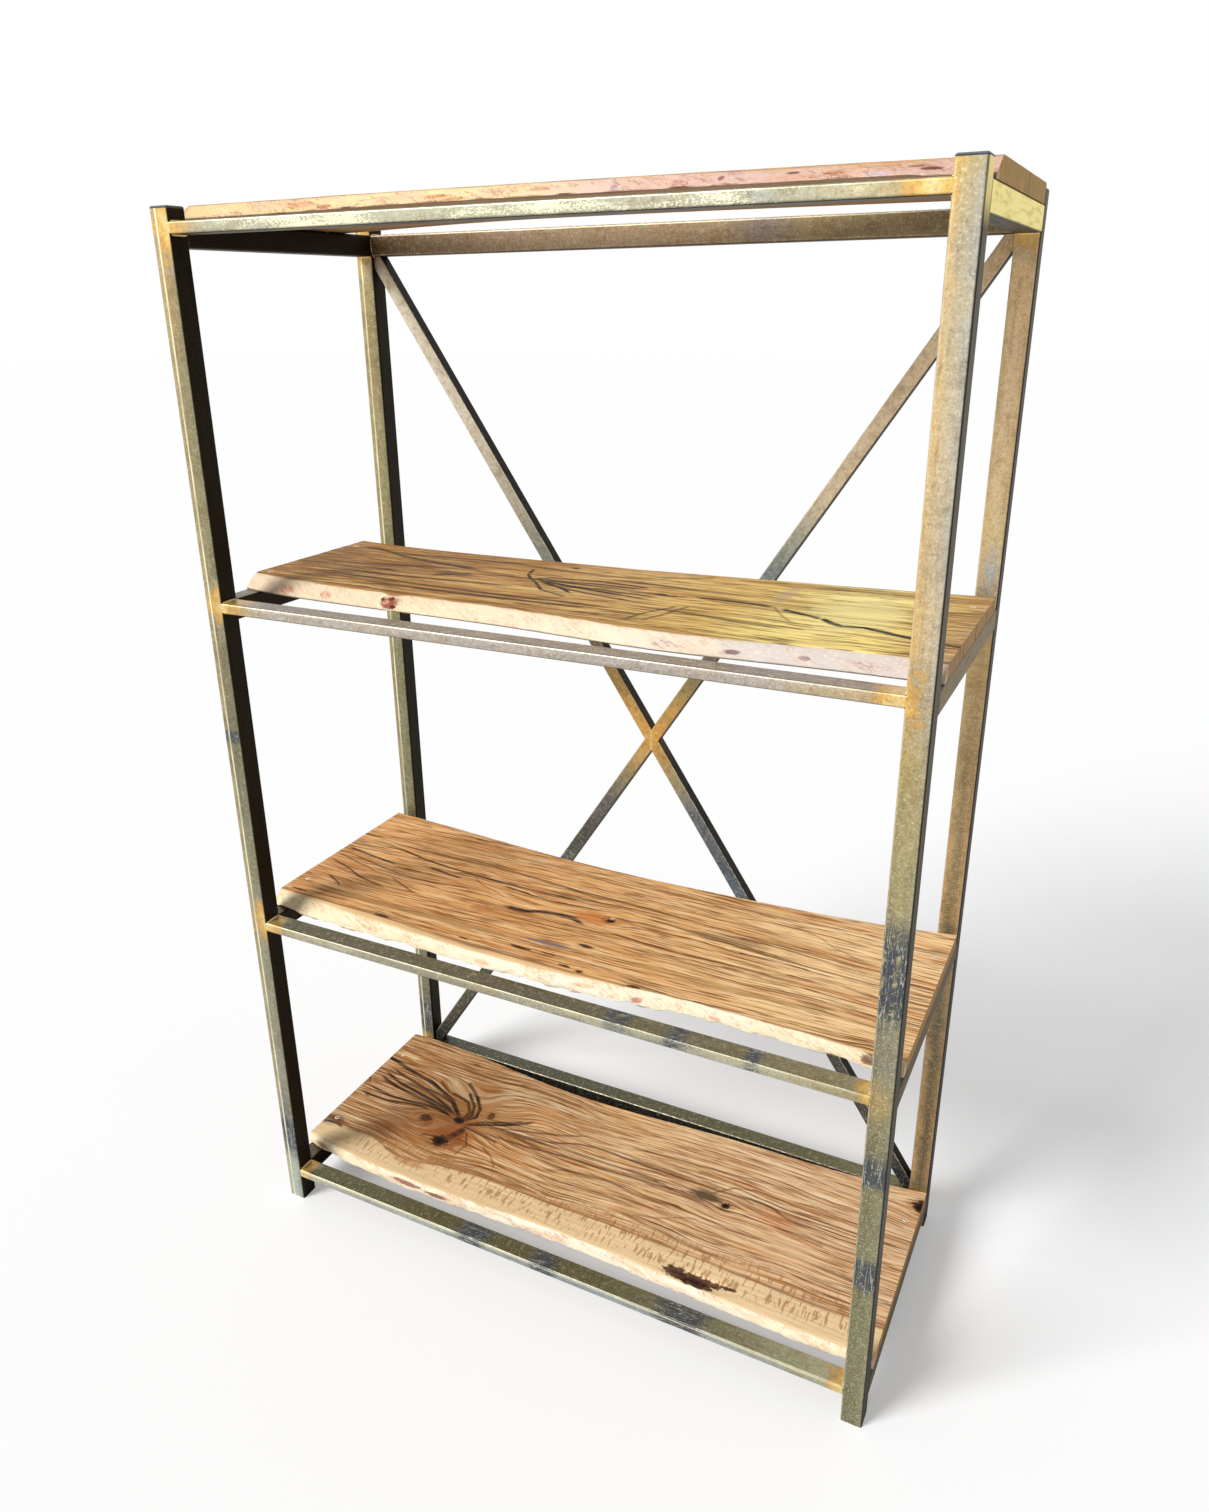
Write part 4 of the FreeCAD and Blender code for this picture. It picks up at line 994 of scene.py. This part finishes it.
# Board screws: bright zinc-plated countersunk screws, four to a board, driven through the board into
# the side rails. Each head is a thin ring round a six-lobed socket.
screw_finish = Finish("zinc_screw")
film = screw_finish.place.noise((0.5, 0.5, 0.5), 3.0, 0.6)
screw_finish.set(base_color=film.step(0.4, 0.65).over("#c9c8c2", "#e6e5df"),
                 roughness=0.25 + 0.2 * film, metallic=0.9)
HEAD_RADIUS, HEAD_DEPTH, TIP_LENGTH, TIP_TAPER = 0.004, 0.0022, 0.003, 0.0007
RIM, RING, SOCKET_EASE, SOCKET_DEPTH, SOCKET_EDGES = 0.0003, 0.0013, 0.00012, 0.0013, (0.0015, 0.0026)


def zinc_screw(head, shank_length):
    # One screw, head up, with its point below a straight shank.
    bpy.ops.object.select_all(action="DESELECT")
    bpy.ops.mesh.primitive_cylinder_add(vertices=24, radius=HEAD_RADIUS, depth=HEAD_DEPTH)
    screw = bpy.context.object

    def end_face(facing):
        def outermost(face):
            return round(face.normal.z * facing, 3), round(face.center.z * facing, 6)

        pick(screw, "FACE", lambda faces: [max(faces, key=outermost)])

    end_face(-1)
    bpy.ops.transform.resize(value=(0.5, 0.5, 1.0))
    bpy.ops.mesh.extrude_region_move(TRANSFORM_OT_translate={"value": (0, 0, -shank_length)})
    bpy.ops.mesh.inset(thickness=TIP_TAPER)
    bpy.ops.transform.translate(value=(0, 0, -TIP_LENGTH))
    end_face(1)
    for inset, rise in ((RIM, RIM), (RING, -0.0001), (SOCKET_EASE, -SOCKET_DEPTH)):
        bpy.ops.mesh.inset(thickness=inset)
        bpy.ops.transform.translate(value=(0, 0, rise))
    bpy.ops.object.mode_set(mode="OBJECT")
    for vertex in screw.data.vertices:
        ring = math.hypot(vertex.co.x, vertex.co.y)
        if SOCKET_EDGES[0] < ring < SOCKET_EDGES[1] and vertex.co.z > -HEAD_DEPTH / 2:
            lobe = 1.0 + 0.12 * math.cos(6.0 * math.atan2(vertex.co.y, vertex.co.x))
            vertex.co.x *= lobe
            vertex.co.y *= lobe
    screw.data.transform(Matrix.Translation((head.x, head.y, head.z - HEAD_DEPTH / 2)))
    bpy.ops.object.shade_smooth_by_angle(angle=math.radians(35.0))
    return screw


for level_name in front_rail_looks:
    low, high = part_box(f"board_screws_{level_name}")
    reach_x, reach_y = high.x - HEAD_RADIUS, high.y - HEAD_RADIUS
    shank = high.z - low.z - HEAD_DEPTH - TIP_LENGTH
    group = [zinc_screw(Vector((side_x, side_y, high.z)), shank)
             for side_x in (-reach_x, reach_x) for side_y in (-reach_y, reach_y)]
    screws = joined(f"zinc_screws_{level_name}", group, screw_finish.material)
    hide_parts(f"board_screws_{level_name}")
    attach(screws, "root")

# Studio: a white floor that keeps a soft shadow, white all round, one broad lamp from the left front,
# and the camera at hand height to the right of the unit.
FILL_LIGHT, FLOOR_GLOW, FLOOR_SIZE, LAMP_FROM = 0.38, 0.22, 60.0, Vector((-2.0, -2.7, 2.2))
scene = bpy.context.scene
scene.view_settings.view_transform = "Standard"
world = bpy.data.worlds.new("white_studio")
scene.world = world
world.use_nodes = True
sky = world.node_tree.nodes["Background"]
sky.inputs["Color"].default_value = (1.0, 1.0, 1.0, 1.0)
rays = Shade(world.node_tree, None).node("LightPath", output="Is Camera Ray")
outputs = rays.socket.node.outputs
seen = rays
for ray in ("Is Glossy Ray", "Is Transmission Ray"):
    seen = seen.most(Shade(world.node_tree, outputs[ray]))
world.node_tree.links.new((FILL_LIGHT + (1.0 - FILL_LIGHT) * seen).socket, sky.inputs["Strength"])

bpy.ops.object.select_all(action="DESELECT")
bpy.ops.mesh.primitive_plane_add(size=FLOOR_SIZE)
floor = bpy.context.object
floor.name = "studio_floor"
floor_material = bpy.data.materials.new("white_floor")
floor_material.use_nodes = True
floor_tree = floor_material.node_tree
floor_tree.nodes.remove(floor_tree.nodes["Principled BSDF"])
start = Shade(floor_tree, None)
matte = start.node("BsdfDiffuse", {"Color": (0.9, 0.9, 0.9, 1.0)})
glow = start.node("Emission", {"Color": (1.0, 1.0, 1.0, 1.0), "Strength": 1.25})
camera_ray = start.node("LightPath", output="Is Camera Ray")
mixed = start.node("MixShader", {0: camera_ray * FLOOR_GLOW, 1: matte, 2: glow})
floor_tree.links.new(mixed.socket, floor_tree.nodes["Material Output"].inputs["Surface"])
floor.data.materials.append(floor_material)

bpy.ops.object.light_add(type="SUN", location=(-3.0, -2.4, 3.0))
key = bpy.context.object
key.name = "key_lamp"
key.data.energy = 3.7
key.data.angle = math.radians(25.0)
key.rotation_euler = (-LAMP_FROM).to_track_quat("-Z", "Y").to_euler()

# The camera's place, turn, focal length and middle were fitted to the edges of the frame. The last two
# are in pixels of the whole picture.
PICTURE_WIDTH, PICTURE_HEIGHT, FOCAL_LENGTH, SENSOR_HEIGHT = 1209.0, 1512.0, 1126.70, 24.0
MIDDLE_X, MIDDLE_Y = 602.71, 745.21
bpy.ops.object.camera_add(location=(0.68858, -1.33780, 1.43255))
camera = bpy.context.object
camera.name = "photo_camera"
yaw, pitch, roll = math.radians(26.91), math.radians(21.46), math.radians(-0.76)
forward = Vector((-math.sin(yaw) * math.cos(pitch), math.cos(yaw) * math.cos(pitch), -math.sin(pitch)))
right = Vector((math.cos(yaw), math.sin(yaw), 0.0))
up = right.cross(forward)
right, up = (right * math.cos(roll) + up * math.sin(roll), up * math.cos(roll) - right * math.sin(roll))
camera.rotation_euler = Matrix((right, up, -forward)).transposed().to_euler()
camera.data.sensor_fit = "VERTICAL"
camera.data.sensor_height = SENSOR_HEIGHT
camera.data.lens = FOCAL_LENGTH / PICTURE_HEIGHT * SENSOR_HEIGHT
camera.data.shift_x = (PICTURE_WIDTH / 2 - MIDDLE_X) / PICTURE_HEIGHT
camera.data.shift_y = (MIDDLE_Y - PICTURE_HEIGHT / 2) / PICTURE_HEIGHT
camera.data.clip_end = 200.0
scene.camera = camera
